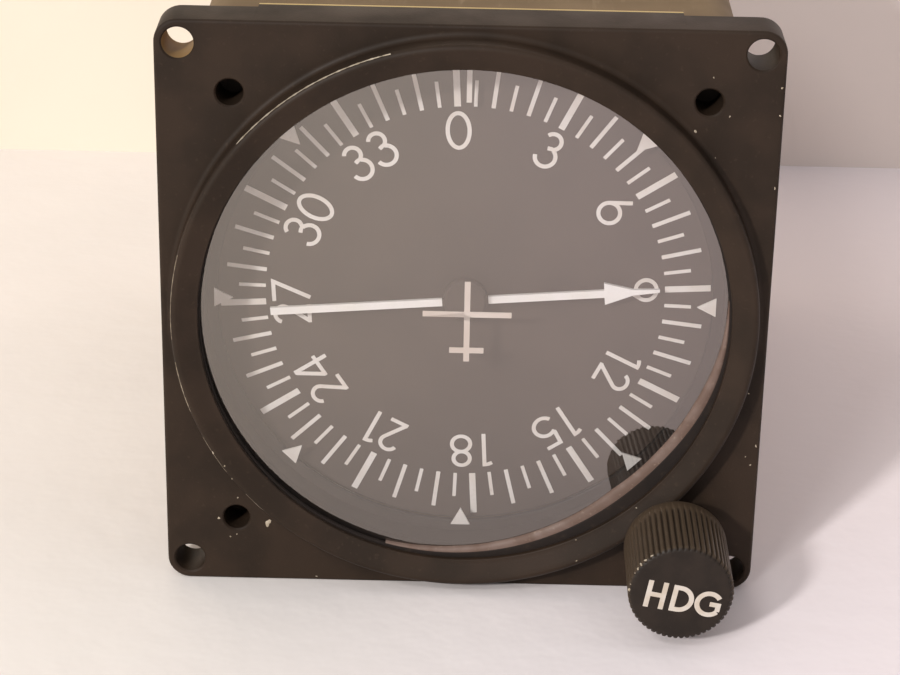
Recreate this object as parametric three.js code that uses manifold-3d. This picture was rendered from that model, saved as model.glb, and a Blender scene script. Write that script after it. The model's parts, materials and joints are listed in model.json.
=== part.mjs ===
import * as THREE from 'three';
import { mergeVertices } from 'three/addons/utils/BufferGeometryUtils.js';
import Module from 'manifold-3d';

const wasm = await Module();
wasm.setup();

// Panel instrument with a hand-turned card. Lengths are in millimetres. While it is being built, the
// dial's axis is Y with the flange's front face at zero and depth growing to the rear, X points right
// and Z up, seen from the front. Angles round the dial run clockwise from the top, in degrees.

// Window: the bezel's bore, and what lies in it from the front to the rear
const windowRadius = 36.05;
const lipWidth = 1.35;
const lipThickness = 0.8;
const glassThickness = 2.0;
const glassFront = -1.0;
const frontGasketThickness = 0.7;
const rearGasketThickness = 0.7;
const gasketInset = 0.1;
const ringClearance = 0.1;
const maskWall = 1.7;
const maskDepth = 3.7;
const maskLip = 0.8;
const maskLipWidth = 1.55;
const retainerThickness = 0.9;
const retainerWidth = 3.3;
const retainerGapAngle = 24;
const grooveDepth = 0.9;
const fitGap = 0.2;

// Bezel casting
const bossWall = 3.65;
const bossDish = 1.0;
const bossEdge = 0.7;
const bossFillet = 0.8;
const flangeMargin = 1.575;
const flangeCorner = 3.2;
const tongueInset = 13.275;
const tongueStep = 1.6;
const padWall = 0.9;
const panelHoleInset = 9.84;
const panelHoleRadius = 1.8;
const panelHoleFloor = 0.8;
const cornerHoleInset = 3.175;
const cornerHoleRadius = 2.12;
const tappedRadius = 1.1;
const tappedDepth = 3.5;

// Case and rear cover
const caseInset = 4.075;
const caseCorner = 5;
const caseWall = 1.2;
const caseLength = 100;
const coverThickness = 1.6;
const coverScrewInset = 5.7;
const earReach = 8;
const earThickness = 3;

// Aeroplane symbol, heading markers and index
const symbolThickness = 0.12;
const symbolStroke = 0.8;
const symbolTop = 4.84;
const symbolBottom = -7.0;
const symbolSpan = 12.1;
const symbolTailSpan = 4.7;
const symbolTailHeight = -5.35;
const symbolOffset = 0.33;
const markerReach = 2.15;
const markerSeat = 0.45;
const markerWidth = 2.7;
const markerThickness = 0.3;
const markerStepAngle = 45;
const indexReach = 5.05;
const indexWidth = 0.7;

// Azimuth card and its hub
const cardInset = 2.7;
const cardClearance = 0.55;
const cardThickness = 0.9;
const cardBore = 3.2;
const cardAngle = -3.2;
const tickStepAngle = 10;
const tickMajorStepAngle = 30;
const tickInset = 1.6;
const tickMajorInset = 0.8;
const tickLength = 5.5;
const tickWidth = 0.58;
const tickMajorWidth = 0.88;
const tickHeight = 0.08;
const hubFlangeRadius = 9;
const hubCollarRadius = 7;
const hubCollarLength = 0.25;
const hubTubeRadius = 5.4;
const hubBore = 4.1;
const hubClearance = 0.2;
const hubWeb = 0.2;
const clipRadius = 4.8;
const clipThickness = 0.5;
const clipGrooveRadius = 3.4;
const clipMouth = 5;
const pressGap = 0.04;

// Gear trains
const rootWidthShare = 0.62;
const tipWidthShare = 0.22;
const addendumShare = 0.9;
const dedendumShare = 1.25;
const cardTeeth = 96;
const idlerTeeth = 20;
const knobTeeth = 10;
const knobSideInset = 11.348;
const knobBottomInset = 9.294;
const gearFace = 1.6;
const pinionExtra = 0.4;
const pointerTeeth = 60;
const motorTeeth = 12;
const motorPlaceAngle = 315;
const motorGap = 0.2;

// Movement frame
const plateGap = 1.5;
const plateThickness = 1.6;
const plateCorner = 4;
const plateRoom = 1.8;
const plateScrewInset = 2.9;
const caseScrewInset = 9.5;
const gearRoom = 2.4;
const spacerRadius = 2.5;
const spacerInset = 8.5;
const postRoom = 5;
const cardBushingRadius = 3.9;
const noseClearance = 0.65;
const bushingCollarRadius = 5.4;
const bushingCollar = 0.8;
const bearingRadius = 2.8;
const bearingWidth = 2;
const pointerShaftRadius = 1;
const shaftClearance = 0.1;
const idlerPinRadius = 1;
const idlerPinHead = 1.8;
const idlerPinHeadThickness = 0.6;

// Bearing pointer
const pointerClearance = 2.15;
const pointerThickness = 0.4;
const pointerAngle = 85.4;
const pointerTailInset = 7.8;
const pointerBarWidth = 1.06;
const pointerHubRadius = 1.9;
const pointerHubDepth = 1.3;
const arrowInset = 7.9;
const arrowLength = 7.6;
const arrowWidth = 3.2;
const pointLength = 3.7;
const pointWidth = 0.6;

// Control knob
const knobRadius = 7.15;
const knobGap = 1.0;
const knobLength = 13.5;
const knobChamfer = 0.5;
const knobCap = 1.8;
const fluteCount = 54;
const fluteDepth = 0.3;
const fluteRidgeShare = 0.34;
const knobAngle = 13.5;
const knobShaftRadius = 1.5;
const knobBushingRadius = 2.75;
const knobBushingNose = 1.6;
const knobCollarRadius = 3.2;
const setScrewRadius = 0.8;
const setScrewLength = 4;
const setScrewSlot = 0.5;

// Motor, resolver, board and connector
const motorRoom = 2.6695526;
const motorLength = 27;
const motorPilotRadius = 3.6;
const motorPilotHeight = 1.2;
const motorEdge = 0.8;
const motorShaftRadius = 0.75;
const motorCapInset = 3;
const motorCapHeight = 4;
const resolverRadius = 10.4;
const resolverLength = 26;
const resolverFlangeRise = 1;
const resolverFlangeThickness = 2;
const resolverGroove = 0.8;
const boardThickness = 1.6;
const boardGap = 5;
const boardCorner = 6;
const transformerWidth = 24;
const transformerHeight = 20;
const transformerDepth = 14;
const transformerCoreShare = 0.5;
const transformerBobbinRise = 2.5;
const connectorWidth = 39;
const connectorHeight = 12.5;
const connectorPlate = 1.2;
const connectorShellWidth = 24.8;
const connectorShellHeight = 8.4;
const connectorShellLength = 6;
const connectorSlantAngle = 10;
const connectorBody = 8;
const socketRadius = 0.6;
const socketDepth = 3;
const socketPitch = 2.77;
const socketRowGap = 2.84;
const socketUpperRowCount = 8;
const socketRowCount = 2;
const jackPitch = 33.3;
const jackPostRadius = 2.4;
const jackPostHeight = 5;

// Screws
const coverScrewHeadRadius = 2.5;
const coverScrewHeadHeight = 1.5;
const coverScrewRadius = 1.1;
const screwProtrusion = 0.4;
const screwTipGap = 0.5;
const caseScrewHeadRadius = 2.1;
const caseScrewHeadHeight = 0.9;
const plateScrewHeadRadius = 2;
const plateScrewHeadHeight = 1;
const slotWidth = 0.6;
const slotDepthShare = 0.5;

// Facets of round forms, and how far cutters reach past what they cut
const largeFacets = 48;
const mediumFacets = 20;
const smallFacets = 16;
const tinyFacets = 8;
const hexFacets = 6;
const cornerSteps = 3;
const edgeSteps = 2;
const overrun = 1;
const weldShare = 1e-6;

const quarterTurn = Math.PI / 2;
const fullTurn = Math.PI * 2;

// Radii round the dial's axis, and half sizes of the squares, from the window outwards
const seatRadius = windowRadius + lipWidth;
const grooveRadius = seatRadius + grooveDepth;
const bossRadius = windowRadius + bossWall;
const flangeHalf = bossRadius + flangeMargin;
const caseHalf = flangeHalf - caseInset;
const caseInner = caseHalf - caseWall;
const tongueHalf = flangeHalf - tongueInset;
const panelHoleReach = flangeHalf - panelHoleInset;
const cornerHoleReach = flangeHalf - cornerHoleInset;
const plateHalf = caseInner - plateGap;
const plateScrewReach = plateHalf - plateScrewInset;
const caseScrewReach = caseInner - caseScrewInset;
const spacerReach = plateHalf - spacerInset;
const boardHalf = caseInner - boardGap;
const coverScrewReach = caseHalf - coverScrewInset;
const ringOuter = seatRadius - ringClearance;
const maskBore = ringOuter - maskWall;
const maskInner = maskBore - maskLipWidth;
const retainerOuter = grooveRadius - ringClearance;
const cardRadius = seatRadius - cardInset;
const tickOuter = cardRadius - tickInset;
const tickMajorOuter = cardRadius - tickMajorInset;
const tickInner = tickOuter - tickLength;
const arrowPoint = cardRadius - arrowInset;
const resolverFlangeRadius = resolverRadius + resolverFlangeRise;

// Depths, from the window to the rear
const lipBack = glassFront - frontGasketThickness;
const dishBack = lipBack - lipThickness;
const bossHeight = bossDish - dishBack;
const glassBack = glassFront + glassThickness;
const maskFront = glassBack + rearGasketThickness;
const maskFace = maskFront + maskDepth;
const maskBack = maskFace + maskLip;
const retainerBack = maskBack + retainerThickness;
const grooveBack = retainerBack + fitGap;
const padDepth = grooveBack + padWall;
const flangeThickness = padDepth - tongueStep;
const panelHoleDepth = flangeThickness - panelHoleFloor;
const cardFace = retainerBack + cardClearance;
const cardBack = cardFace + cardThickness;
const pointerFace = cardFace - pointerClearance;
const bushingNose = cardBack + noseClearance;
const clipFront = bushingNose + clipThickness;
const clipBack = clipFront + clipThickness;
const pocketBack = clipBack + hubClearance;
const cardGearFront = pocketBack + hubWeb;
const gearBack = cardGearFront + gearFace;
const lugDepth = gearBack + plateRoom;
const plateFront = lugDepth;
const plateBack = plateFront + plateThickness;
const pointerGearFront = plateBack + gearRoom;
const pointerGearBack = pointerGearFront + gearFace;
const gearPlateFront = pointerGearBack + gearRoom;
const gearPlateBack = gearPlateFront + plateThickness;
const motorBack = gearPlateBack + motorLength;
const boardFront = motorBack + motorCapHeight + postRoom;
const boardBack = boardFront + boardThickness;
const caseRear = padDepth + caseLength;
const coverBack = caseRear + coverThickness;
const knobBack = -bossHeight - knobGap;
const knobFront = knobBack - knobLength;
const knobShaftEnd = knobFront + knobCap;
const sideScrewDepth = (padDepth + lugDepth) / 2;

// Gears: the tooth size of a train follows from the distance that it spans
const knobPlace = { x: flangeHalf - knobSideInset, z: knobBottomInset - flangeHalf };
const knobPlaceAngle = THREE.MathUtils.radToDeg(Math.atan2(knobPlace.x, knobPlace.z));
const knobReach = Math.hypot(knobPlace.x, knobPlace.z);
const knobTrainModule = knobReach * 2 / (cardTeeth + idlerTeeth * 2 + knobTeeth);
const idlerReach = knobTrainModule * (cardTeeth + idlerTeeth) / 2;
const postInnerReach = spacerReach * Math.SQRT2 - spacerRadius;
const motorRadius = (postInnerReach - motorRoom - resolverFlangeRadius - motorGap) / 2;
const motorCapRadius = motorRadius - motorCapInset;
const motorReach = resolverFlangeRadius + motorRadius + motorGap;
const motorTrainModule = motorReach * 2 / (pointerTeeth + motorTeeth);

const corners = [[-1, 1], [1, 1], [-1, -1], [1, -1]];
const lugCorners = corners.slice(0, 3);

function place(bearing, reach) {
  const angle = THREE.MathUtils.degToRad(bearing);
  return { x: reach * Math.sin(angle), z: reach * Math.cos(angle) };
}

const idlerPlace = place(knobPlaceAngle, idlerReach);
const motorPlace = place(motorPlaceAngle, motorReach);

// Solids: a geometry with its shared vertices merged and its faces turned outwards
function solidOf(geometry) {
  geometry.deleteAttribute('normal');
  geometry.deleteAttribute('uv');
  const merged = mergeVertices(geometry, windowRadius * weldShare);
  const position = merged.attributes.position;
  const index = merged.index.array;
  const triangles = [];
  let volume = 0;
  const [a, b, c] = [new THREE.Vector3(), new THREE.Vector3(), new THREE.Vector3()];
  for (let i = 0; i < index.length; i += 3) {
    const [p, q, r] = [index[i], index[i + 1], index[i + 2]];
    if (p === q || q === r || r === p) continue;
    triangles.push(p, q, r);
    a.fromBufferAttribute(position, p);
    b.fromBufferAttribute(position, q);
    c.fromBufferAttribute(position, r);
    volume += a.dot(b.cross(c));
  }
  if (volume < 0) triangles.reverse();
  const vertProperties = Float32Array.from(position.array);
  const triVerts = Uint32Array.from(triangles);
  return new wasm.Manifold(new wasm.Mesh({ numProp: 3, vertProperties, triVerts }));
}

function geometryOf(solid) {
  const mesh = solid.getMesh();
  const geometry = new THREE.BufferGeometry();
  geometry.setAttribute('position', new THREE.BufferAttribute(Float32Array.from(mesh.vertProperties), 3));
  geometry.setIndex(new THREE.BufferAttribute(Uint32Array.from(mesh.triVerts), 1));
  const loose = geometry.toNonIndexed();
  loose.computeVertexNormals();
  return loose;
}

// A round solid about the dial's axis, from a profile of [radius, depth]
function revolve(profile, facets = largeFacets) {
  const points = profile.map(([radius, depth]) => new THREE.Vector2(radius, depth));
  const first = points[0];
  const last = points[points.length - 1];
  if (first.x > 0 || last.x > 0) points.push(first.clone());
  return solidOf(new THREE.LatheGeometry(points, facets));
}

// A plate with its outline drawn as seen from the front, from one depth to another
function slab(outline, front, back, holes = []) {
  const shape = new THREE.Shape(outline);
  for (const hole of holes) shape.holes.push(new THREE.Path(hole));
  const geometry = new THREE.ExtrudeGeometry(shape, { depth: back - front, bevelEnabled: false });
  geometry.rotateX(quarterTurn);
  geometry.translate(0, back, 0);
  return solidOf(geometry);
}

function rod(radius, front, back, facets = smallFacets, at = { x: 0, z: 0 }) {
  const geometry = new THREE.CylinderGeometry(radius, radius, back - front, facets);
  geometry.translate(at.x, (front + back) / 2, at.z);
  return solidOf(geometry);
}

function block(width, height, front, back, at = { x: 0, z: 0 }) {
  const geometry = new THREE.BoxGeometry(width, back - front, height);
  geometry.translate(at.x, (front + back) / 2, at.z);
  return solidOf(geometry);
}

// A hole's polygon lies outside its circle, so what is round fits in it at any angle
const around = (radius, facets) => radius / Math.cos(Math.PI / facets);

function hole(radius, facets, at) {
  return circle(around(radius, facets), facets, at);
}

function drill(radius, front, back, facets, at) {
  return rod(around(radius, facets), front, back, facets, at);
}

// Outlines as lists of points
function circle(radius, facets = mediumFacets, at = { x: 0, z: 0 }) {
  return Array.from({ length: facets }, (_, i) => new THREE.Vector2(
    at.x + radius * Math.cos(fullTurn * i / facets),
    at.z + radius * Math.sin(fullTurn * i / facets),
  ));
}

function roundedBox(width, height, radius, steps = cornerSteps) {
  const points = [];
  const signs = [[1, 1], [-1, 1], [-1, -1], [1, -1]];
  signs.forEach(([sx, sz], corner) => {
    const centre = { x: sx * (width / 2 - radius), z: sz * (height / 2 - radius) };
    for (let i = 0; i <= steps; i++) {
      const angle = quarterTurn * (corner + i / steps);
      points.push(new THREE.Vector2(
        centre.x + radius * Math.cos(angle), centre.z + radius * Math.sin(angle)));
    }
  });
  return points;
}

function arcProfile(centreRadius, centreDepth, radius, from, to, steps = edgeSteps) {
  return Array.from({ length: steps + 1 }, (_, i) => {
    const angle = THREE.MathUtils.degToRad(from + (to - from) * i / steps);
    return [centreRadius + radius * Math.cos(angle), centreDepth + radius * Math.sin(angle)];
  });
}

function turned(solid, bearing) {
  return solid.rotate([0, bearing, 0]);
}

function moved(solid, at, depth = 0) {
  return solid.translate([at.x, depth, at.z]);
}

// Toothed outline with straight flanks; a tooth is centred on the top before it is turned
function toothOutline(teeth, toothModule) {
  const pitchRadius = teeth * toothModule / 2;
  const tip = pitchRadius + addendumShare * toothModule;
  const root = pitchRadius - dedendumShare * toothModule;
  const step = fullTurn / teeth;
  const tipHalf = step * tipWidthShare / 2;
  const rootHalf = step * rootWidthShare / 2;
  const points = [];
  for (let i = 0; i < teeth; i++) {
    for (const [radius, offset] of [[root, -rootHalf], [tip, -tipHalf], [tip, tipHalf], [root, rootHalf]]) {
      const angle = step * i + offset;
      points.push(new THREE.Vector2(radius * Math.sin(angle), radius * Math.cos(angle)));
    }
  }
  return points;
}

function gear(teeth, toothModule, front, back, boreRadius, toothAngle) {
  const wheel = slab(toothOutline(teeth, toothModule), front, back, [hole(boreRadius, smallFacets)]);
  return turned(wheel, toothAngle);
}

function screw(headRadius, headHeight, shankRadius, shankLength) {
  const body = revolve([
    [0, -headHeight],
    ...arcProfile(headRadius - headHeight / 2, -headHeight / 2, headHeight / 2, -90, 0, 1),
    [headRadius, 0],
    [shankRadius, 0],
    [shankRadius, shankLength],
    [0, shankLength],
  ], tinyFacets);
  const slot = block(
    headRadius * 2 + overrun, slotWidth, -headHeight - overrun, -headHeight * slotDepthShare);
  return body.subtract(slot);
}

const paint = {
  blackPaint: new THREE.MeshStandardMaterial({ color: 0x2b2723, roughness: 0.55, metalness: 0.1 }),
  knobBlack: new THREE.MeshStandardMaterial({ color: 0x2a2725, roughness: 0.5, metalness: 0 }),
  cardGrey: new THREE.MeshStandardMaterial({ color: 0x3a322d, roughness: 0.7, metalness: 0 }),
  markWhite: new THREE.MeshStandardMaterial({ color: 0xe8e0d6, roughness: 0.6, metalness: 0 }),
  glass: new THREE.MeshStandardMaterial({
    color: 0xe3d8d4, roughness: 0.08, metalness: 0, transparent: true, opacity: 0.25,
  }),
  rubber: new THREE.MeshStandardMaterial({ color: 0x1b1a19, roughness: 0.9, metalness: 0 }),
  steel: new THREE.MeshStandardMaterial({ color: 0xa9a7a3, roughness: 0.35, metalness: 1 }),
  brass: new THREE.MeshStandardMaterial({ color: 0xb59a5c, roughness: 0.35, metalness: 1 }),
  aluminium: new THREE.MeshStandardMaterial({ color: 0xb4b4b0, roughness: 0.45, metalness: 1 }),
  board: new THREE.MeshStandardMaterial({ color: 0x3d5a33, roughness: 0.6, metalness: 0 }),
  plastic: new THREE.MeshStandardMaterial({ color: 0x35332f, roughness: 0.6, metalness: 0 }),
};
for (const material of Object.values(paint)) material.flatShading = true;

const dial = new THREE.Group();

function add(name, solid, material) {
  const mesh = new THREE.Mesh(geometryOf(solid), material.clone());
  mesh.name = name;
  dial.add(mesh);
}

// Bezel: flange, rear pad, boss with a dished face, window bore, seat, groove and three corner lugs
function bezel() {
  const middle = flangeThickness / 2;
  let casting = slab(roundedBox(flangeHalf * 2, flangeHalf * 2, flangeCorner), 0, flangeThickness);
  casting = casting.add(slab(roundedBox(caseHalf * 2, caseHalf * 2, caseCorner), middle, padDepth));
  casting = casting.add(block(tongueHalf * 2, flangeHalf * 2, middle, padDepth));
  casting = casting.add(block(flangeHalf * 2, tongueHalf * 2, middle, padDepth));
  const lugHalf = caseInner - fitGap;
  const lugs = roundedBox(lugHalf * 2, lugHalf * 2, caseCorner - caseWall - fitGap);
  const lugBlock = slab(lugs, middle, lugDepth)
    .subtract(rod(seatRadius, -overrun, lugDepth + overrun, largeFacets))
    .subtract(block(caseHalf * 2, caseHalf * 2, padDepth, lugDepth + overrun, { x: caseHalf, z: -caseHalf }));
  casting = casting.add(lugBlock);
  casting = casting.add(revolve([
    [0, middle],
    [bossRadius + bossFillet, middle],
    ...arcProfile(bossRadius + bossFillet, -bossFillet, bossFillet, 90, 180),
    ...arcProfile(bossRadius - bossEdge, bossEdge - bossHeight, bossEdge, 0, -90),
    [windowRadius, dishBack],
    [0, dishBack],
  ]));
  casting = casting.subtract(revolve([
    [0, -bossHeight - overrun],
    [windowRadius, -bossHeight - overrun],
    [windowRadius, lipBack],
    [seatRadius, lipBack],
    [seatRadius, maskBack],
    [grooveRadius, maskBack],
    [grooveRadius, grooveBack],
    [seatRadius, grooveBack],
    [seatRadius, padDepth + overrun],
    [0, padDepth + overrun],
  ]));
  for (const [sx, sz] of corners) {
    const corner = { x: sx * cornerHoleReach, z: sz * cornerHoleReach };
    casting = casting.subtract(drill(cornerHoleRadius, -overrun, padDepth + overrun, smallFacets, corner));
  }
  for (const [sx, sz] of lugCorners) {
    const panel = { x: sx * panelHoleReach, z: sz * panelHoleReach };
    const lug = { x: sx * plateScrewReach, z: sz * plateScrewReach };
    casting = casting.subtract(drill(panelHoleRadius, -overrun, panelHoleDepth, smallFacets, panel));
    casting = casting.subtract(
      drill(tappedRadius, lugDepth - tappedDepth, lugDepth + overrun, tinyFacets, lug));
    casting = casting.subtract(caseScrewHole(sx, sz));
  }
  const bushHole = drill(
    knobBushingRadius + pressGap, -bossHeight - overrun, padDepth + overrun, smallFacets, knobPlace);
  return casting.subtract(bushHole);
}

// Tapped holes in the lugs' sides, for the screws that hold the case
function caseScrewHole(sx, sz) {
  const length = tappedDepth + overrun;
  const tapped = drill(tappedRadius, 0, length, tinyFacets).rotate([0, 0, sx * 90]);
  const edge = caseInner - fitGap + overrun;
  return tapped.translate([sx * edge, sideScrewDepth, sz * caseScrewReach]);
}

add('bezel', bezel(), paint.blackPaint);

// Window and what holds it
function washer(inner, outer, front, back, facets = largeFacets) {
  const bore = around(inner, facets);
  return revolve([[bore, front], [outer, front], [outer, back], [bore, back]], facets);
}

function retainer() {
  const ring = washer(retainerOuter - retainerWidth, retainerOuter, maskBack, retainerBack);
  const mouthWidth = grooveRadius * Math.tan(THREE.MathUtils.degToRad(retainerGapAngle / 2)) * 2;
  const mouth = block(mouthWidth, grooveRadius * 2, maskBack - overrun, retainerBack + overrun,
    { x: 0, z: -grooveRadius });
  return ring.subtract(mouth);
}

function maskRing() {
  return revolve([
    [maskBore, maskFront],
    [ringOuter, maskFront],
    [ringOuter, maskBack],
    [maskInner, maskBack],
    [maskInner, maskFace],
    [maskBore, maskFace],
  ]);
}

function marker() {
  const outline = [
    new THREE.Vector2(0, maskInner - markerReach),
    new THREE.Vector2(-markerWidth / 2, maskInner + markerSeat),
    new THREE.Vector2(markerWidth / 2, maskInner + markerSeat),
  ];
  return slab(outline, maskFace - markerThickness, maskFace);
}

function aircraft() {
  const half = symbolStroke / 2;
  const bar = (width, low, high) => slab([
    new THREE.Vector2(-width / 2, low),
    new THREE.Vector2(width / 2, low),
    new THREE.Vector2(width / 2, high),
    new THREE.Vector2(-width / 2, high),
  ], glassBack, glassBack + symbolThickness);
  return bar(symbolStroke, symbolBottom, symbolTop)
    .add(bar(symbolSpan, -half, half))
    .add(bar(symbolTailSpan, symbolTailHeight - half, symbolTailHeight + half))
    .translate([symbolOffset, 0, 0]);
}

add('front_gasket', washer(windowRadius + gasketInset, ringOuter, lipBack, glassFront), paint.rubber);
add('window_glass', rod(ringOuter, glassFront, glassBack, largeFacets), paint.glass);
add('rear_gasket', washer(windowRadius + gasketInset, ringOuter, glassBack, maskFront), paint.rubber);
add('aircraft_symbol', aircraft(), paint.markWhite);
add('mask_ring', maskRing(), paint.cardGrey);
add('retaining_ring', retainer(), paint.steel);
for (let bearing = markerStepAngle; bearing < 360; bearing += markerStepAngle) {
  add(`heading_marker_${String(bearing).padStart(3, '0')}`, turned(marker(), bearing), paint.markWhite);
}
const indexBar = block(indexWidth, indexReach + markerSeat, maskFace - markerThickness, maskFace,
  { x: 0, z: maskInner + (markerSeat - indexReach) / 2 });
add('lubber_index', indexBar, paint.markWhite);

// Azimuth card: a disc with raised graduations every ten degrees
function azimuthCard() {
  const marks = [];
  for (let bearing = 0; bearing < 360; bearing += tickStepAngle) {
    const major = bearing % tickMajorStepAngle === 0;
    const outer = major ? tickMajorOuter : tickOuter;
    const half = (major ? tickMajorWidth : tickWidth) / 2;
    const angle = THREE.MathUtils.degToRad(bearing);
    const outline = [[-half, tickInner], [half, tickInner], [half, outer], [-half, outer]];
    marks.push(new THREE.Shape(outline.map(([x, z]) => new THREE.Vector2(
      x * Math.cos(angle) + z * Math.sin(angle),
      z * Math.cos(angle) - x * Math.sin(angle),
    ))));
  }
  const depth = tickHeight + cardThickness / 2;
  const geometry = new THREE.ExtrudeGeometry(marks, { depth, bevelEnabled: false });
  geometry.rotateX(quarterTurn);
  geometry.translate(0, cardFace - tickHeight + depth, 0);
  const disc = washer(cardBore, cardRadius, cardFace, cardBack);
  return turned(disc.add(solidOf(geometry)), cardAngle);
}

function cardHub() {
  const flangeBack = cardGearFront - hubCollarLength;
  const pocket = around(clipRadius + hubClearance, smallFacets);
  const bore = around(hubBore, smallFacets);
  const tubeBack = plateFront - bushingCollar - hubClearance;
  return revolve([
    [pocket, cardBack],
    [hubFlangeRadius, cardBack],
    [hubFlangeRadius, flangeBack],
    [hubCollarRadius, flangeBack],
    [hubCollarRadius, cardGearFront],
    [hubTubeRadius, cardGearFront],
    [hubTubeRadius, tubeBack],
    [bore, tubeBack],
    [bore, pocketBack],
    [pocket, pocketBack],
  ], smallFacets);
}

// Clip in the bushing's groove, in the pocket of the hub, which keeps the card from sliding forwards
function hubClip() {
  const ring = washer(clipGrooveRadius + pressGap, clipRadius, clipFront + pressGap, clipBack - pressGap,
    smallFacets);
  const mouth = block(
    clipMouth, clipRadius * 2, clipFront - overrun, clipBack + overrun, { x: 0, z: -clipRadius });
  return ring.subtract(mouth);
}

add('azimuth_card', azimuthCard(), paint.cardGrey);
add('card_hub', cardHub(), paint.aluminium);
add('hub_clip', hubClip(), paint.steel);
const cardWheel = gear(cardTeeth, knobTrainModule, cardGearFront, gearBack, hubTubeRadius + pressGap,
  knobPlaceAngle);
add('card_gear', cardWheel, paint.brass);

// Idler between the card's gear and the knob's pinion, with a gap facing each of them
const idlerToothAngle = knobPlaceAngle + 180 / idlerTeeth;
const idlerWheel = gear(idlerTeeth, knobTrainModule, cardGearFront, gearBack, idlerPinRadius + shaftClearance,
  idlerToothAngle);
add('idler_gear', moved(idlerWheel, idlerPlace), paint.brass);

function idlerPin() {
  const headBack = cardGearFront - fitGap;
  const head = rod(idlerPinHead, headBack - idlerPinHeadThickness, headBack, tinyFacets);
  const shank = rod(idlerPinRadius, headBack - idlerPinHeadThickness / 2, plateBack, tinyFacets);
  const shoulder = rod(idlerPinHead, gearBack + fitGap, plateFront, tinyFacets);
  return moved(head.add(shank).add(shoulder), idlerPlace);
}

add('idler_pin', idlerPin(), paint.steel);

// Control knob: fluted side, chamfered rim and a slightly raised flat face
function fluteOutline() {
  const step = fullTurn / fluteCount;
  const points = [];
  const ridge = step * fluteRidgeShare / 2;
  const floor = knobRadius - fluteDepth;
  for (let i = 0; i < fluteCount; i++) {
    for (const [radius, offset] of [[knobRadius, -ridge], [knobRadius, ridge], [floor, step / 2]]) {
      const angle = step * i + offset;
      points.push(new THREE.Vector2(radius * Math.sin(angle), radius * Math.cos(angle)));
    }
  }
  return points;
}

function controlKnob() {
  const envelope = revolve([
    [0, knobFront],
    [knobRadius - knobChamfer, knobFront],
    [knobRadius + overrun, knobFront + knobChamfer + overrun],
    [knobRadius + overrun, knobBack],
    [0, knobBack],
  ], fluteCount);
  const barrel = slab(fluteOutline(), knobFront - overrun, knobBack + overrun);
  const bore = drill(knobShaftRadius + pressGap, knobShaftEnd - fitGap, knobBack + overrun, smallFacets);
  const tapped = drill(setScrewRadius + pressGap, 0, knobRadius + overrun, tinyFacets)
    .rotate([-90, 0, 0]).translate([0, (knobFront + knobBack) / 2, 0]);
  const knob = barrel.intersect(envelope).subtract(bore).subtract(tapped);
  return moved(turned(knob, knobAngle), knobPlace);
}

function setScrew() {
  const inner = knobShaftRadius + pressGap;
  const body = rod(setScrewRadius, inner, inner + setScrewLength, tinyFacets);
  const slot = block(setScrewRadius * 2 + overrun, slotWidth, inner + setScrewLength - setScrewSlot,
    inner + setScrewLength + overrun);
  const screwBody = body.subtract(slot).rotate([-90, 0, 0]).translate([0, (knobFront + knobBack) / 2, 0]);
  return moved(turned(screwBody, knobAngle), knobPlace);
}

function knobShaft() {
  const shaft = rod(knobShaftRadius, knobShaftEnd, plateBack, smallFacets);
  const collar = rod(knobCollarRadius, padDepth + fitGap, cardGearFront - fitGap, smallFacets);
  return moved(shaft.add(collar), knobPlace);
}

add('control_knob', controlKnob(), paint.knobBlack);
add('knob_set_screw', setScrew(), paint.steel);
add('knob_shaft', knobShaft(), paint.steel);
const pinionBack = gearBack + pinionExtra;
const knobWheel = gear(knobTeeth, knobTrainModule, cardGearFront, pinionBack, knobShaftRadius + pressGap,
  knobPlaceAngle + 180);
add('knob_pinion', moved(knobWheel, knobPlace), paint.brass);
const bush = washer(knobShaftRadius + shaftClearance, knobBushingRadius, -knobBushingNose, padDepth,
  smallFacets);
add('knob_bushing', moved(bush, knobPlace), paint.brass);

// Bearing pointer, with its shaft, bearings, gear and motor
function bearingPointer() {
  const half = pointerBarWidth / 2;
  const tail = cardRadius - pointerTailInset;
  const base = arrowPoint - arrowLength;
  const shoulder = arrowPoint - pointLength;
  const outline = [
    [-half, -tail], [half, -tail], [half, base], [arrowWidth / 2, base], [pointWidth / 2, shoulder],
    [0, arrowPoint], [-pointWidth / 2, shoulder], [-arrowWidth / 2, base], [-half, base],
  ].map(([x, z]) => new THREE.Vector2(x, z));
  const blade = slab(outline, pointerFace, pointerFace + pointerThickness);
  const hub = rod(pointerHubRadius, pointerFace, pointerFace + pointerHubDepth, smallFacets);
  const bore = drill(pointerShaftRadius + pressGap, pointerFace + pointerThickness / 2,
    pointerFace + pointerHubDepth + overrun, smallFacets);
  return turned(blade.add(hub).subtract(bore), pointerAngle);
}

function cardBushing() {
  const noseBore = around(bearingRadius + pressGap, smallFacets);
  const shaftBore = around(pointerShaftRadius + shaftClearance, smallFacets);
  return revolve([
    [noseBore, bushingNose],
    [cardBushingRadius, bushingNose],
    [cardBushingRadius, clipFront],
    [clipGrooveRadius, clipFront],
    [clipGrooveRadius, clipBack],
    [cardBushingRadius, clipBack],
    [cardBushingRadius, plateFront - bushingCollar],
    [bushingCollarRadius, plateFront - bushingCollar],
    [bushingCollarRadius, plateFront],
    [cardBushingRadius, plateFront],
    [cardBushingRadius, plateBack],
    [shaftBore, plateBack],
    [shaftBore, bushingNose + fitGap + bearingWidth],
    [noseBore, bushingNose + fitGap + bearingWidth],
  ], smallFacets);
}

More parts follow.
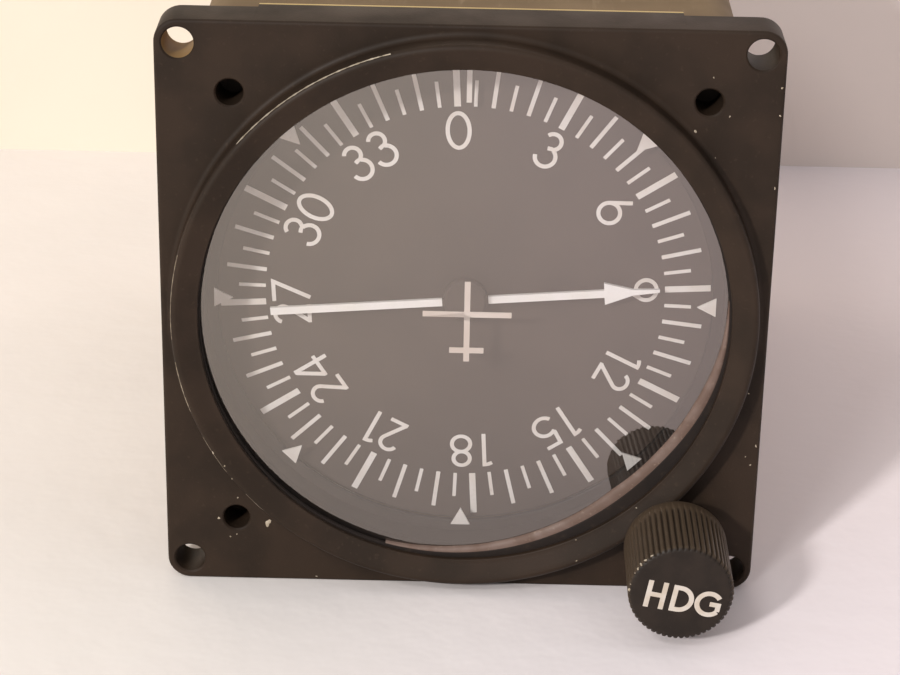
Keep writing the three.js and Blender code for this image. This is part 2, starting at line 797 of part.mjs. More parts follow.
const bearingBore = pointerShaftRadius + pressGap;
const frontBearingFront = bushingNose + fitGap;
const shaftEnd = gearPlateBack + resolverLength / 2;
add('bearing_pointer', bearingPointer(), paint.markWhite);
const pointerRod = rod(pointerShaftRadius, pointerFace + pointerThickness, shaftEnd, smallFacets);
add('pointer_shaft', pointerRod, paint.steel);
const pointerWheel = gear(pointerTeeth, motorTrainModule, pointerGearFront, pointerGearBack, bearingBore,
  motorPlaceAngle);
add('pointer_gear', pointerWheel, paint.brass);
add('card_bushing', cardBushing(), paint.brass);
add('pointer_bearing_front',
  washer(bearingBore, bearingRadius, frontBearingFront, frontBearingFront + bearingWidth, smallFacets),
  paint.steel);
add('pointer_bearing_rear',
  washer(bearingBore, bearingRadius, gearPlateBack - bearingWidth, gearPlateBack, smallFacets), paint.steel);

function motorPinion() {
  const wheel = gear(motorTeeth, motorTrainModule, pointerGearFront, pointerGearBack, motorShaftRadius / 2,
    motorPlaceAngle + 180 + 180 / motorTeeth);
  const arbor = rod(motorShaftRadius, pointerGearFront, gearPlateBack + fitGap, tinyFacets);
  return moved(wheel.add(arbor), motorPlace);
}

function servoMotor() {
  const front = gearPlateBack;
  const rear = motorBack;
  const shaftBore = around(motorShaftRadius + shaftClearance, mediumFacets);
  return moved(revolve([
    [shaftBore, front - motorPilotHeight],
    [motorPilotRadius, front - motorPilotHeight],
    [motorPilotRadius, front],
    [motorRadius - motorEdge, front],
    [motorRadius, front + motorEdge],
    [motorRadius, rear - motorEdge],
    [motorRadius - motorEdge, rear],
    [motorCapRadius, rear],
    [motorCapRadius, rear + motorCapHeight],
    [0, rear + motorCapHeight],
    [0, front + fitGap * 2],
    [shaftBore, front + fitGap * 2],
  ], mediumFacets), motorPlace);
}

function resolver() {
  const front = gearPlateBack;
  const rear = front + resolverLength;
  const shaftBore = around(pointerShaftRadius + shaftClearance, mediumFacets);
  const waist = resolverRadius - resolverGroove;
  return revolve([
    [shaftBore, front],
    [resolverFlangeRadius, front],
    [resolverFlangeRadius, front + resolverFlangeThickness],
    [waist, front + resolverFlangeThickness],
    [waist, front + resolverFlangeThickness * 2],
    [resolverRadius, front + resolverFlangeThickness * 2],
    [resolverRadius, rear - motorEdge],
    [resolverRadius - motorEdge, rear],
    [0, rear],
    [0, shaftEnd + fitGap],
    [shaftBore, shaftEnd + fitGap],
  ], mediumFacets);
}

add('motor_pinion', motorPinion(), paint.brass);
add('servo_motor', servoMotor(), paint.steel);
add('resolver', resolver(), paint.aluminium);

// Movement frame: two plates with spacers between them, and posts that carry the board
function frontPlate() {
  const screwHoles = lugCorners.map(([sx, sz]) => hole(
    tappedRadius + pressGap, tinyFacets, { x: sx * plateScrewReach, z: sz * plateScrewReach }));
  return slab(roundedBox(plateHalf * 2, plateHalf * 2, plateCorner), plateFront, plateBack, [
    hole(cardBushingRadius + pressGap, smallFacets),
    hole(knobShaftRadius + shaftClearance, smallFacets, knobPlace),
    hole(idlerPinRadius + pressGap, tinyFacets, idlerPlace),
    ...screwHoles,
  ]);
}

function gearPlate() {
  return slab(roundedBox(plateHalf * 2, plateHalf * 2, plateCorner), gearPlateFront, gearPlateBack, [
    hole(bearingRadius + pressGap, smallFacets),
    hole(motorPilotRadius + pressGap, mediumFacets, motorPlace),
  ]);
}

add('front_plate', frontPlate(), paint.aluminium);
lugCorners.forEach(([sx, sz], i) => {
  const length = plateThickness + tappedDepth - screwTipGap;
  const fastener = screw(plateScrewHeadRadius, plateScrewHeadHeight, tappedRadius - pressGap, length)
    .rotate([180, 0, 0]);
  const at = { x: sx * plateScrewReach, z: sz * plateScrewReach };
  add(`plate_screw_${i + 1}`, moved(fastener, at, plateBack), paint.steel);
});
add('gear_plate', gearPlate(), paint.aluminium);
corners.forEach(([sx, sz], i) => {
  const at = { x: sx * spacerReach, z: sz * spacerReach };
  add(`gear_spacer_${i + 1}`, rod(spacerRadius, plateBack, gearPlateFront, tinyFacets, at), paint.steel);
  add(`frame_post_${i + 1}`, rod(spacerRadius, gearPlateBack, boardFront, tinyFacets, at), paint.steel);
});

// Circuit board with its transformer
function transformer() {
  const coreBack = boardBack + transformerDepth * transformerCoreShare;
  const core = block(transformerWidth, transformerHeight, boardBack, coreBack);
  const bobbin = block(
    transformerWidth - transformerBobbinRise * 2, transformerHeight + transformerBobbinRise * 2,
    boardBack, boardBack + transformerDepth);
  return core.add(bobbin);
}

const boardOutline = roundedBox(boardHalf * 2, boardHalf * 2, boardCorner);
add('circuit_board', slab(boardOutline, boardFront, boardBack), paint.board);
add('transformer', transformer(), paint.plastic);

// Case: a square tube with four inner ears at the rear, and the cover screwed to them
function caseShell() {
  const outer = roundedBox(caseHalf * 2, caseHalf * 2, caseCorner);
  const inner = roundedBox(caseInner * 2, caseInner * 2, caseCorner - caseWall);
  let shell = slab(outer, padDepth, caseRear, [inner]);
  for (const [sx, sz] of corners) {
    const at = { x: sx * (caseInner - earReach / 2), z: sz * (caseInner - earReach / 2) };
    const width = earReach + caseWall;
    const ear = block(width, width, caseRear - earThickness, caseRear, at)
      .intersect(slab(outer, caseRear - earThickness, caseRear));
    shell = shell.add(ear);
    const screwPlace = { x: sx * coverScrewReach, z: sz * coverScrewReach };
    shell = shell.subtract(drill(coverScrewRadius + pressGap, caseRear - earThickness - overrun,
      caseRear + overrun, tinyFacets, screwPlace));
    if (sx > 0 && sz < 0) continue;
    const side = drill(tappedRadius + pressGap, 0, caseWall + overrun * 2, tinyFacets)
      .rotate([0, 0, sx * 90]);
    shell = shell.subtract(side.translate([
      sx * (caseHalf + overrun), sideScrewDepth, sz * caseScrewReach,
    ]));
  }
  return shell;
}

function rearCover() {
  const holes = corners.map(([sx, sz]) => hole(
    coverScrewRadius + pressGap, tinyFacets, { x: sx * coverScrewReach, z: sz * coverScrewReach }));
  holes.push(roundedBox(connectorShellWidth, connectorShellHeight, connectorPlate));
  return slab(roundedBox(caseHalf * 2, caseHalf * 2, caseCorner), caseRear, coverBack, holes);
}

add('case_shell', caseShell(), paint.blackPaint);
add('rear_cover', rearCover(), paint.blackPaint);
corners.forEach(([sx, sz], i) => {
  const length = coverThickness + earThickness + screwProtrusion;
  const fastener = screw(coverScrewHeadRadius, coverScrewHeadHeight, coverScrewRadius, length)
    .rotate([180, 0, 0]);
  const at = { x: sx * coverScrewReach, z: sz * coverScrewReach };
  add(`cover_screw_${i + 1}`, moved(fastener, at, coverBack), paint.steel);
});
lugCorners.forEach(([sx, sz], i) => {
  const length = caseWall + fitGap + tappedDepth - screwTipGap;
  const fastener = screw(caseScrewHeadRadius, caseScrewHeadHeight, tappedRadius - pressGap, length)
    .rotate([0, 0, sx * 90]);
  const at = { x: sx * caseHalf, z: sz * caseScrewReach };
  add(`case_screw_${i + 1}`, moved(fastener, at, sideScrewDepth), paint.steel);
});

// Rear connector: a socket block in a slanted shell on a mounting plate with two jack posts
function connector() {
  const slant = Math.tan(THREE.MathUtils.degToRad(connectorSlantAngle)) * connectorShellHeight;
  const top = connectorShellWidth / 2 - connectorPlate;
  const half = connectorShellHeight / 2 - fitGap;
  const outline = [[-top + slant, -half], [top - slant, -half], [top, half], [-top, half]]
    .map(([x, z]) => new THREE.Vector2(x, z));
  const rear = coverBack + connectorPlate + connectorShellLength;
  let body = slab(outline, caseRear - connectorBody, rear);
  body = body.add(slab(roundedBox(connectorWidth, connectorHeight, connectorPlate), coverBack,
    coverBack + connectorPlate));
  for (const side of [-1, 1]) {
    const at = { x: side * jackPitch / 2, z: 0 };
    body = body.add(rod(
      jackPostRadius, coverBack + connectorPlate / 2, coverBack + connectorPlate + jackPostHeight,
      hexFacets, at));
  }
  for (let row = 0; row < socketRowCount; row++) {
    const count = socketUpperRowCount - row;
    for (let i = 0; i < count; i++) {
      const at = { x: (i - (count - 1) / 2) * socketPitch, z: socketRowGap * (1 - row * 2) / 2 };
      body = body.subtract(rod(socketRadius, rear - socketDepth, rear + overrun, hexFacets, at));
    }
  }
  return body;
}

add('rear_connector', connector(), paint.plastic);

// The part's origin lies under the middle of its box, on the surface that the flange stands on
const box = new THREE.Box3().setFromObject(dial);
const middle = (box.min.y + box.max.y) / 2;
dial.position.set(0, -middle, -box.min.z);

const indicator = new THREE.Group();
indicator.add(dial);
indicator.updateMatrixWorld(true);

export default indicator;
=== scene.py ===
import json
import math

import bmesh
import bpy
import numpy as np
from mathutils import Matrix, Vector


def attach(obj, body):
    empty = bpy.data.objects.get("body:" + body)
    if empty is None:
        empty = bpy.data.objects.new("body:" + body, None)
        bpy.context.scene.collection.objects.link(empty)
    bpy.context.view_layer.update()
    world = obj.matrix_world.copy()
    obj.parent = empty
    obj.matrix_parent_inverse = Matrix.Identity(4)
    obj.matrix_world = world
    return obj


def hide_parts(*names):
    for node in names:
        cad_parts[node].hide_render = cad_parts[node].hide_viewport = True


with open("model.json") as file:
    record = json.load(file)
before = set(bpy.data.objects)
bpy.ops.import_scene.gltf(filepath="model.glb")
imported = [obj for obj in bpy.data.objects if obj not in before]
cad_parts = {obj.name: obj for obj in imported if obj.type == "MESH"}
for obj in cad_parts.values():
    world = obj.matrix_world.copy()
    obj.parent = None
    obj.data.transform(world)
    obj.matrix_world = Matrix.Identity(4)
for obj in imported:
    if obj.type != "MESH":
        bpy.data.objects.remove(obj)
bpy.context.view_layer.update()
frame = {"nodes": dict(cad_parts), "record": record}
nodes = frame["nodes"]
print("frame loaded,", len(nodes), "nodes")

# Sizes are millimetres on the dial: x right, y back from the front of the flange, z up, and bearings
# run clockwise from the top. The frame is in metres; dialAt is the dial's centre in it, in millimetres
dialAt = np.array([0.0, -49.5, 41.275])

# The camera in metres, degrees and millimetres of film
cameraView = {"place": (0.000452, -0.378320, 0.186141), "turn": (65.7835, -0.9945, 0.8619),
              "lens": 105.909, "film": 36, "nearest": 0.01}

camera = bpy.data.objects.new("camera", bpy.data.cameras.new("camera"))
camera.location = cameraView["place"]
camera.rotation_euler = [math.radians(a) for a in cameraView["turn"]]
camera.data.lens = cameraView["lens"]
camera.data.sensor_width = cameraView["film"]
camera.data.clip_start = cameraView["nearest"]
bpy.context.scene.collection.objects.link(camera)
bpy.context.scene.camera = camera
bpy.context.scene.view_settings.view_transform = "Standard"


# Materials

def hexColour(code):
    # sRGB hex to the linear colour that the shaders take
    channels = np.array([int(code[i:i + 2], 16) for i in (0, 2, 4)]) / 255
    linear = np.where(channels <= 0.04045, channels / 12.92, ((channels + 0.055) / 1.055) ** 2.4)
    return (*linear.tolist(), 1.0)


def addNode(tree, kind, inputs, output=0, **settings):
    # One node with its settings; each input takes a plain value or another node's output
    node = tree.nodes.new(kind)
    for key, value in settings.items():
        setattr(node, key, value)
    for key, value in inputs.items():
        if isinstance(value, bpy.types.NodeSocket):
            tree.links.new(value, node.inputs[key])
        else:
            node.inputs[key].default_value = value
    return node.outputs[output]


# The stretch of its noise that each change is spread over, and the strength of the relief
blend = {"tone": (0.35, 0.65), "speck": (0.6, 0.74), "rough": (0.3, 0.7), "relief": 0.6}


def finish(name, s):
    # A whole finish from its settings, with sizes in millimetres: two tones in soft patches, specks of
    # a third over them, gloss that follows the patches, and fine grain as relief. Specks and grain can
    # be drawn out along an axis. The finish hands back what a worn or marked surface adds to
    material = bpy.data.materials.new(name)
    material.use_nodes = True
    tree = material.node_tree
    shader = tree.nodes["Principled BSDF"]
    shader.inputs["Metallic"].default_value = s.get("metal", 0.0)
    shader.inputs["Specular IOR Level"].default_value = s.get("specular", 0.5)
    objectPlace = addNode(tree, "ShaderNodeTexCoord", {}, "Object")
    place = addNode(tree, "ShaderNodeMapping", {
        "Vector": objectPlace, "Location": (-dialAt).tolist(), "Scale": (1000, 1000, 1000)})
    drawn = addNode(tree, "ShaderNodeMapping", {"Vector": place, "Scale": s.get("drawn", (1, 1, 1))})
    patches = addNode(tree, "ShaderNodeTexNoise", {"Vector": place, "Scale": 1 / s["patch"], "Detail": 3.0})
    specks = addNode(tree, "ShaderNodeTexNoise", {"Vector": drawn, "Scale": 1 / s["speck"], "Detail": 4.0})
    grain = addNode(tree, "ShaderNodeTexNoise", {"Vector": drawn, "Scale": 1 / s["grain"], "Detail": 2.0})
    patchShare = addNode(tree, "ShaderNodeMapRange", {
        "Value": patches, "From Min": blend["tone"][0], "From Max": blend["tone"][1]},
        interpolation_type="SMOOTHSTEP")
    tone = addNode(tree, "ShaderNodeMix", {
        0: patchShare, 6: hexColour(s["base"]), 7: hexColour(s["second"])}, 2, data_type="RGBA")
    speckShare = addNode(tree, "ShaderNodeMapRange", {
        "Value": specks, "From Min": blend["speck"][0], "From Max": blend["speck"][1],
        "To Max": s["speckMost"]}, interpolation_type="SMOOTHSTEP")
    colour = addNode(tree, "ShaderNodeMix", {
        0: speckShare, 6: tone, 7: hexColour(s["speckColour"])}, 2, data_type="RGBA")
    rough = addNode(tree, "ShaderNodeMapRange", {
        "Value": patches, "From Min": blend["rough"][0], "From Max": blend["rough"][1],
        "To Min": s["rough"][0], "To Max": s["rough"][1]})
    relief = addNode(tree, "ShaderNodeBump", {
        "Height": grain, "Distance": s["relief"] / 1000, "Strength": blend["relief"]})
    tree.links.new(colour, shader.inputs["Base Color"])
    tree.links.new(rough, shader.inputs["Roughness"])
    tree.links.new(relief, shader.inputs["Normal"])
    return material, tree, shader, place, colour


# Shapes

# In metres: points nearer than weld become one, and edges shorter than least are taken out
joining = {"weld": 2e-7, "least": 1e-8}


def gridQuads(rows, columns, closeRows, closeColumns):
    # Four corners for each cell of a grid, where a closed direction joins its end to its start
    index = np.arange(rows * columns).reshape(rows, columns)
    r = np.arange(rows if closeRows else rows - 1)[:, None]
    c = np.arange(columns if closeColumns else columns - 1)[None]
    corners = [index[(r + i) % rows, (c + j) % columns] for i, j in ((0, 0), (1, 0), (1, 1), (0, 1))]
    return np.stack(corners, -1).reshape(-1, 4)


def makePiece(name, grids, material, body, replaces=(), sharp=35, solid=True):
    # Each grid is (points, rows closed, columns closed), with points in dial millimetres. All grids
    # go into one mesh, points that fall together are merged, and a solid's faces are turned outwards
    points, quads, count = [], [], 0
    for grid, closeRows, closeColumns in grids:
        points.append(grid.reshape(-1, 3))
        quads.append(gridQuads(*grid.shape[:2], closeRows, closeColumns) + count)
        count += len(points[-1])
    points = (np.concatenate(points) + dialAt) / 1000
    quads = np.concatenate(quads)
    mesh = bpy.data.meshes.new(name)
    mesh.vertices.add(count)
    mesh.vertices.foreach_set("co", points.ravel())
    mesh.loops.add(quads.size)
    mesh.loops.foreach_set("vertex_index", quads.ravel())
    mesh.polygons.add(len(quads))
    mesh.polygons.foreach_set("loop_start", np.arange(0, quads.size, 4))
    mesh.update(calc_edges=True)
    work = bmesh.new()
    work.from_mesh(mesh)
    bmesh.ops.remove_doubles(work, verts=work.verts, dist=joining["weld"])
    bmesh.ops.dissolve_degenerate(work, edges=work.edges, dist=joining["least"])
    if solid:
        bmesh.ops.recalc_face_normals(work, faces=work.faces)
    work.to_mesh(mesh)
    work.free()
    mesh.shade_smooth()
    mesh.set_sharp_from_angle(angle=math.radians(sharp))
    piece = bpy.data.objects.new(name, mesh)
    bpy.context.scene.collection.objects.link(piece)
    mesh.materials.append(material)
    if body:
        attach(piece, body)
        if replaces:
            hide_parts(*replaces)
    return piece


def drillOut(piece, drills, sharp=35):
    # Each drill's turned shape is cut from the piece, and the cut is applied
    for drill in drills:
        cut = piece.modifiers.new("drill", "BOOLEAN")
        cut.object, cut.solver = drill, "EXACT"
    ready = piece.evaluated_get(bpy.context.evaluated_depsgraph_get())
    mesh = bpy.data.meshes.new_from_object(ready)
    piece.modifiers.clear()
    material = piece.data.materials[0]
    piece.data = mesh
    mesh.materials.clear()
    mesh.materials.append(material)
    mesh.name = piece.name
    for drill in drills:
        bpy.data.objects.remove(drill)
    mesh.shade_smooth()
    mesh.set_sharp_from_angle(angle=math.radians(sharp))


def arc(radius, start, end, count, centre=(0.0, 0.0), flat=1.0):
    # Points on a circle, or an ellipse that is flat times as tall, by angle from the first axis
    angle = np.radians(np.linspace(start, end, count))
    return np.stack([centre[0] + radius * np.cos(angle), centre[1] + flat * radius * np.sin(angle)], -1)


def turned(profile, steps=192, centre=(0.0, 0.0)):
    # A profile of (radius, depth) goes round an axis that runs back through centre:
    # x = centre + r sin a, y = depth, z = centre + r cos a, with a over the full circle
    profile = np.asarray(profile, float)
    angle = np.linspace(0, 2 * math.pi, steps, endpoint=False)[:, None]
    radius, depth = profile[:, 0], profile[:, 1]
    return np.stack([centre[0] + radius * np.sin(angle), depth + 0 * angle,
                     centre[1] + radius * np.cos(angle)], -1)


def squareRadius(angle, half, corner):
    # Distance from the middle to a rounded square's outline: the straight side at half / cos of the
    # angle from the nearest axis, or where that lies in a corner, the far crossing of its circle
    far = np.maximum(np.abs(np.sin(angle)), np.abs(np.cos(angle)))
    near = np.minimum(np.abs(np.sin(angle)), np.abs(np.cos(angle)))
    k = half - corner
    inside = np.maximum((k * (far + near)) ** 2 - 2 * k * k + corner ** 2, 0)
    return np.where(half * near / far > k, k * (far + near) + np.sqrt(inside), half / far)


def onDial(flat, bearing):
    # A flat drawing, its second axis outwards, is carried to a bearing of the dial
    b = math.radians(bearing)
    u, v = flat[..., 0], flat[..., 1]
    return np.stack([u * math.cos(b) + v * math.sin(b), v * math.cos(b) - u * math.sin(b)], -1)


def withDepth(flat, depth):
    return np.stack([flat[..., 0], np.broadcast_to(depth, flat.shape[:-1]), flat[..., 1]], -1)


def capped(grid):
    # Both ends of a closed section close in the section's middle
    ends = [np.broadcast_to(grid[i].mean(0), grid[i].shape)[None] for i in (0, -1)]
    return np.concatenate([ends[0], grid, ends[1]])


def penStroke(path, width, closed=False):
    # Half the pen's width lies on each side of the path, its ends are square and its turns mitred: at
    # a turn the side reaches half the width / cos of half the turn, so that both edges stay straight
    path = np.asarray(path, float)
    ahead = np.roll(path, -1, 0) - path
    ahead /= np.linalg.norm(ahead, axis=1)[:, None]
    if not closed:
        ahead[-1] = ahead[-2]
    behind = np.roll(ahead, 1, 0)
    if not closed:
        behind[0] = ahead[0]
    along = ahead + behind
    along /= np.linalg.norm(along, axis=1)[:, None]
    reach = width / 2 / np.maximum((along * ahead).sum(1), 0.25)
    side = np.stack([-along[:, 1], along[:, 0]], -1) * reach[:, None]
    return np.stack([path + side, path - side, path - side, path + side], 1)


def raised(flat, front, back, closed=False):
    # A flat stroke or strip gets its front and back, and square ends where it is open
    grid = withDepth(flat, np.array([front, front, back, back]))
    return (grid, True, True) if closed else (capped(grid), False, True)


def flakes(places, lift):
    # Low irregular mounds (x, y, z, size, height over width), sunk in the surface and open to no side.
    # The radius varies round each as a sum of two waves, 1 + 0.3 sin(2a + 1.7 i) + 0.22 sin(3a + 3.9 i)
    # for mound number i. The section gives shares of the radius and of the lift
    section = np.array([(0.7, -0.9), (1, 0.5), (0.9, 2)])[:, None]
    grids = []
    for i, (x, y, z, size, tall) in enumerate(places):
        angle = np.linspace(0, 2 * math.pi, 12, endpoint=False)
        shape = size * (1 + 0.3 * np.sin(2 * angle + 1.7 * i) + 0.22 * np.sin(3 * angle + 3.9 * i))
        radius = section[..., 0] * shape
        mound = np.stack([x + radius * np.cos(angle), y + lift * section[..., 1] + 0 * radius,
                          z + radius * tall * np.sin(angle)], -1)
        grids.append((capped(mound), False, True))
    return grids


# Bezel

# The dish comes forward 1 for each dishRun outwards. The tongues are the deeper parts of the rear edge,
# and guard is the flat left beside a rounding
bezelSizes = {
    "half": 41.275, "corner": 3.2, "leastCorner": 0.5, "edge": 0.45, "backEdge": 0.3, "guard": 0.06,
    "thickness": 6.6, "pad": 8.2, "tongue": 28.0, "tongueStep": 0.02, "case": 37.2, "caseCorner": 5.0,
    "seat": 37.4, "seatWall": 0.2, "window": 36.05, "lipBack": -1.7, "lipFront": -2.54, "lipEdge": 0.14,
    "dishFrom": 0.15, "dishRun": 2.95, "boss": 39.7, "bossFront": -3.5, "bossEdge": 0.7, "fillet": 0.8,
    "steps": 720, "panelHole": 1.85, "panelReach": 31.435, "panelDepth": 5.8,
    "cornerHole": 2.12, "cornerReach": 38.1, "bushing": 3.54, "bushingAt": (29.927, -31.981),
    "flare": 0.22, "drillFrom": -1, "bushingFrom": -6, "drillTo": 12,
}
# Black alkyd enamel, sprayed on cast aluminium: a soft brown-black sheen over orange peel of about a
# third of a millimetre, with dust in specks of under a millimetre
bezelFinish = {
    "base": "30241b", "second": "271d15", "patch": 9, "speck": 0.7, "speckColour": "46382c",
    "speckMost": 0.3, "grain": 0.35, "relief": 0.03, "rough": (0.46, 0.6), "specular": 0.17,
    "bore": "8a6a3c", "boreMargin": 0.15, "boreFrom": 0.3,
    "chromate": "c2a972", "chromateDeep": 0.75, "chromateDown": 0.5,
}


def bezelGrid(s):
    # For each bearing, a profile runs from the window's seat over the lip, dish, boss and fillet, out
    # over the flange to its square edge, and back behind it. On the tongues the edge is deeper
    tongue = math.degrees(math.atan2(s["tongue"], s["half"]))
    angles = np.linspace(0, 360, s["steps"], endpoint=False)
    gaps = (-s["tongueStep"], s["tongueStep"])
    steps = [q * 90 + side * tongue + gap for q in range(4) for side in (-1, 1) for gap in gaps]
    angle = np.radians(np.sort(np.concatenate([angles, np.mod(steps, 360)])))
    fromAxis = np.abs(np.mod(np.degrees(angle) + 45, 90) - 45)
    back = np.where(fromAxis < tongue, s["pad"], s["thickness"])
    slope = math.degrees(math.atan2(1.0, s["dishRun"]))
    edge = arc(s["bossEdge"], -90 - slope, 0, 9, (s["boss"] - s["bossEdge"], s["bossFront"] + s["bossEdge"]))
    dishInner = np.array([s["window"] + s["dishFrom"], s["lipFront"]])
    dish = edge[0] + np.linspace(1, 0, 6)[:-1, None] * (dishInner - edge[0])
    fillet = arc(s["fillet"], 180, 90, 7, (s["boss"] + s["fillet"], -s["fillet"]))
    e = s["lipEdge"]
    lip = arc(e, 90, 180, 4, (s["window"] + e, s["lipBack"] - e))
    lipFront = arc(e, 180, 255, 4, (s["window"] + e, s["lipFront"] + e))
    inner = [(s["seat"], s["pad"]), (s["seat"], s["lipBack"]), *lip, *lipFront, *dish, *edge, *fillet,
             (s["boss"] + s["fillet"] + s["guard"], 0.0)]
    rings = [(np.full_like(angle, r), np.full_like(angle, y)) for r, y in inner]
    corner = lambda inset: max(s["corner"] - inset, s["leastCorner"])
    squareAt = lambda inset: squareRadius(angle, s["half"] - inset, corner(inset))
    start, end = rings[-1][0], squareAt(s["edge"] + 2 * s["guard"])
    for share in (0.08, 0.3, 0.55, 0.8, 1.0):
        rings.append((start + (end - start) * share, np.zeros_like(angle)))
    for turn in np.radians(np.linspace(0, 90, 6)):
        inset = s["edge"] * (1 - math.sin(turn))
        rings.append((squareAt(inset), np.full_like(angle, s["edge"] * (1 - math.cos(turn)))))
    for turn in np.radians(np.linspace(0, 90, 5)):
        inset = s["backEdge"] * (1 - math.cos(turn))
        rings.append((squareAt(inset), back - s["backEdge"] * (1 - math.sin(turn))))
    case = np.maximum(squareRadius(angle, s["case"], s["caseCorner"]), s["seat"] + s["seatWall"])
    rings.append((case, back))
    rings.append((case, np.full_like(angle, s["pad"])))
    radius, depth = (np.stack([ring[i] for ring in rings], 1) for i in (0, 1))
    return np.stack([radius * np.sin(angle)[:, None], depth, radius * np.cos(angle)[:, None]], -1)


def drillShape(radius, front, back, centre, flare=0.0):
    # A drill that opens by flare, over as much depth, up to the flange's front face
    mouth = [(radius, flare), (radius + flare, 0), (radius + flare, front)] if flare else [(radius, front)]
    profile = [(0, back), (radius, back), *mouth, (0, front)]
    return makePiece("drill", [(turned(profile, 64, centre), True, False)], enamel, None)


s = bezelSizes
enamel, tree, shader, place, colour = finish("satin black enamel on cast aluminium", bezelFinish)
# The upper left corner bore is bare and tanned from boreFrom behind the front, and yellow chromate
# shows along the flange's rear top edge
split = addNode(tree, "ShaderNodeSeparateXYZ", {"Vector": place})
depth, height = split.node.outputs[1], split.node.outputs[2]
fromBore = addNode(tree, "ShaderNodeVectorMath", {
    0: place, 1: (-s["cornerReach"], 0, s["cornerReach"])}, operation="SUBTRACT")
acrossBore = addNode(tree, "ShaderNodeVectorMath", {0: fromBore, 1: (1, 0, 1)}, operation="MULTIPLY")
boreRadius = addNode(tree, "ShaderNodeVectorMath", {0: acrossBore}, 1, operation="LENGTH")
inBore = addNode(tree, "ShaderNodeMath", {
    0: boreRadius, 1: s["cornerHole"] + bezelFinish["boreMargin"]}, operation="LESS_THAN")
deep = addNode(tree, "ShaderNodeMath", {0: depth, 1: bezelFinish["boreFrom"]}, operation="GREATER_THAN")
bareBore = addNode(tree, "ShaderNodeMath", {0: inBore, 1: deep}, operation="MULTIPLY")
painted = addNode(tree, "ShaderNodeMix", {
    0: bareBore, 6: colour, 7: hexColour(bezelFinish["bore"])}, 2, data_type="RGBA")
behind = addNode(tree, "ShaderNodeMath", {
    0: depth, 1: s["pad"] - bezelFinish["chromateDeep"]}, operation="GREATER_THAN")
onTop = addNode(tree, "ShaderNodeMath", {
    0: height, 1: s["half"] - bezelFinish["chromateDown"]}, operation="GREATER_THAN")
topEdge = addNode(tree, "ShaderNodeMath", {0: behind, 1: onTop}, operation="MULTIPLY")
edged = addNode(tree, "ShaderNodeMix", {
    0: topEdge, 6: painted, 7: hexColour(bezelFinish["chromate"])}, 2, data_type="RGBA")
tree.links.new(edged, shader.inputs["Base Color"])

bezel = makePiece("bezel_casting", [(bezelGrid(s), True, True)], enamel, "housing", ["bezel"])
# At the lower right the knob's bushing takes the place of a panel screw
drills = []
for sideX, sideZ in ((-1, 1), (1, 1), (-1, -1), (1, -1)):
    at = (sideX * s["cornerReach"], sideZ * s["cornerReach"])
    drills.append(drillShape(s["cornerHole"], s["drillFrom"], s["drillTo"], at, s["flare"]))
    if (sideX, sideZ) != (1, -1):
        at = (sideX * s["panelReach"], sideZ * s["panelReach"])
        drills.append(drillShape(s["panelHole"], s["drillFrom"], s["panelDepth"], at, s["flare"]))
drills.append(drillShape(s["bushing"], s["bushingFrom"], s["drillTo"], s["bushingAt"]))
drillOut(bezel, drills)
print("bezel", len(bezel.data.polygons), "faces")


# Where the bezel's paint is lost, and a painted highlight on the boss's edge

bareLook = {
    "base": "c9bca8", "second": "a89a84", "patch": 1.5, "speck": 0.4, "speckColour": "7d7060",
    "speckMost": 0.5, "grain": 0.2, "relief": 0.02, "rough": (0.4, 0.6), "metal": 0.6,
}
# On the flange: x, z, size and height over width. On the boss: bearing, radius and size. Along the boss's
# edge: first and last bearing and width, in a strip about edgeTurn from the dial's axis; these strips are
# partly worn paint and partly a painted highlight where the edge faces the light
wear = {
    "lift": 0.02, "bossTall": 1.1, "edgeTurn": 58, "edgeLift": 0.012, "edgeRoot": 0.05,
    "flange": [
        (-27.05, -32.24, 0.4, 1.5), (-25.05, -29.65, 0.15, 1.0), (-25.75, -28.35, 0.12, 1.0),
        (24.63, 31.47, 0.14, 1.0), (29.7, 27.38, 0.27, 1.1), (32.53, 23.8, 0.14, 1.3),
        (31.77, 34.92, 0.11, 1.0), (34.19, 29.61, 0.12, 1.0), (40.75, 33.67, 0.12, 1.6),
        (40.75, 29.86, 0.12, 1.2), (40.75, 19.68, 0.1, 2.0), (-31.25, -28.34, 0.12, 1.0),
        (-33.95, -31.63, 0.15, 1.6), (-32.37, -34.54, 0.12, 1.0), (-31.46, -34.13, 0.1, 1.0),
        (-22.18, -33.64, 0.12, 1.0), (-20.23, -40.64, 0.13, 0.8), (40.7, -18.47, 0.13, 1.5),
        (39.36, -20.15, 0.1, 1.0), (40.11, -21.42, 0.12, 1.0), (39.18, -10.45, 0.11, 1.0)],
    "boss": [
        (240.1, 39.45, 0.16), (236.5, 39.15, 0.12), (233.2, 39.5, 0.12), (138.0, 36.57, 0.12),
        (143.0, 39.5, 0.12), (155.1, 38.9, 0.11), (153.4, 36.3, 0.1)],
    "edge": [(310, 345, 0.17), (284, 266, 0.07), (261, 250, 0.15), (244, 235, 0.08), (228.8, 223.9, 0.1)],
}


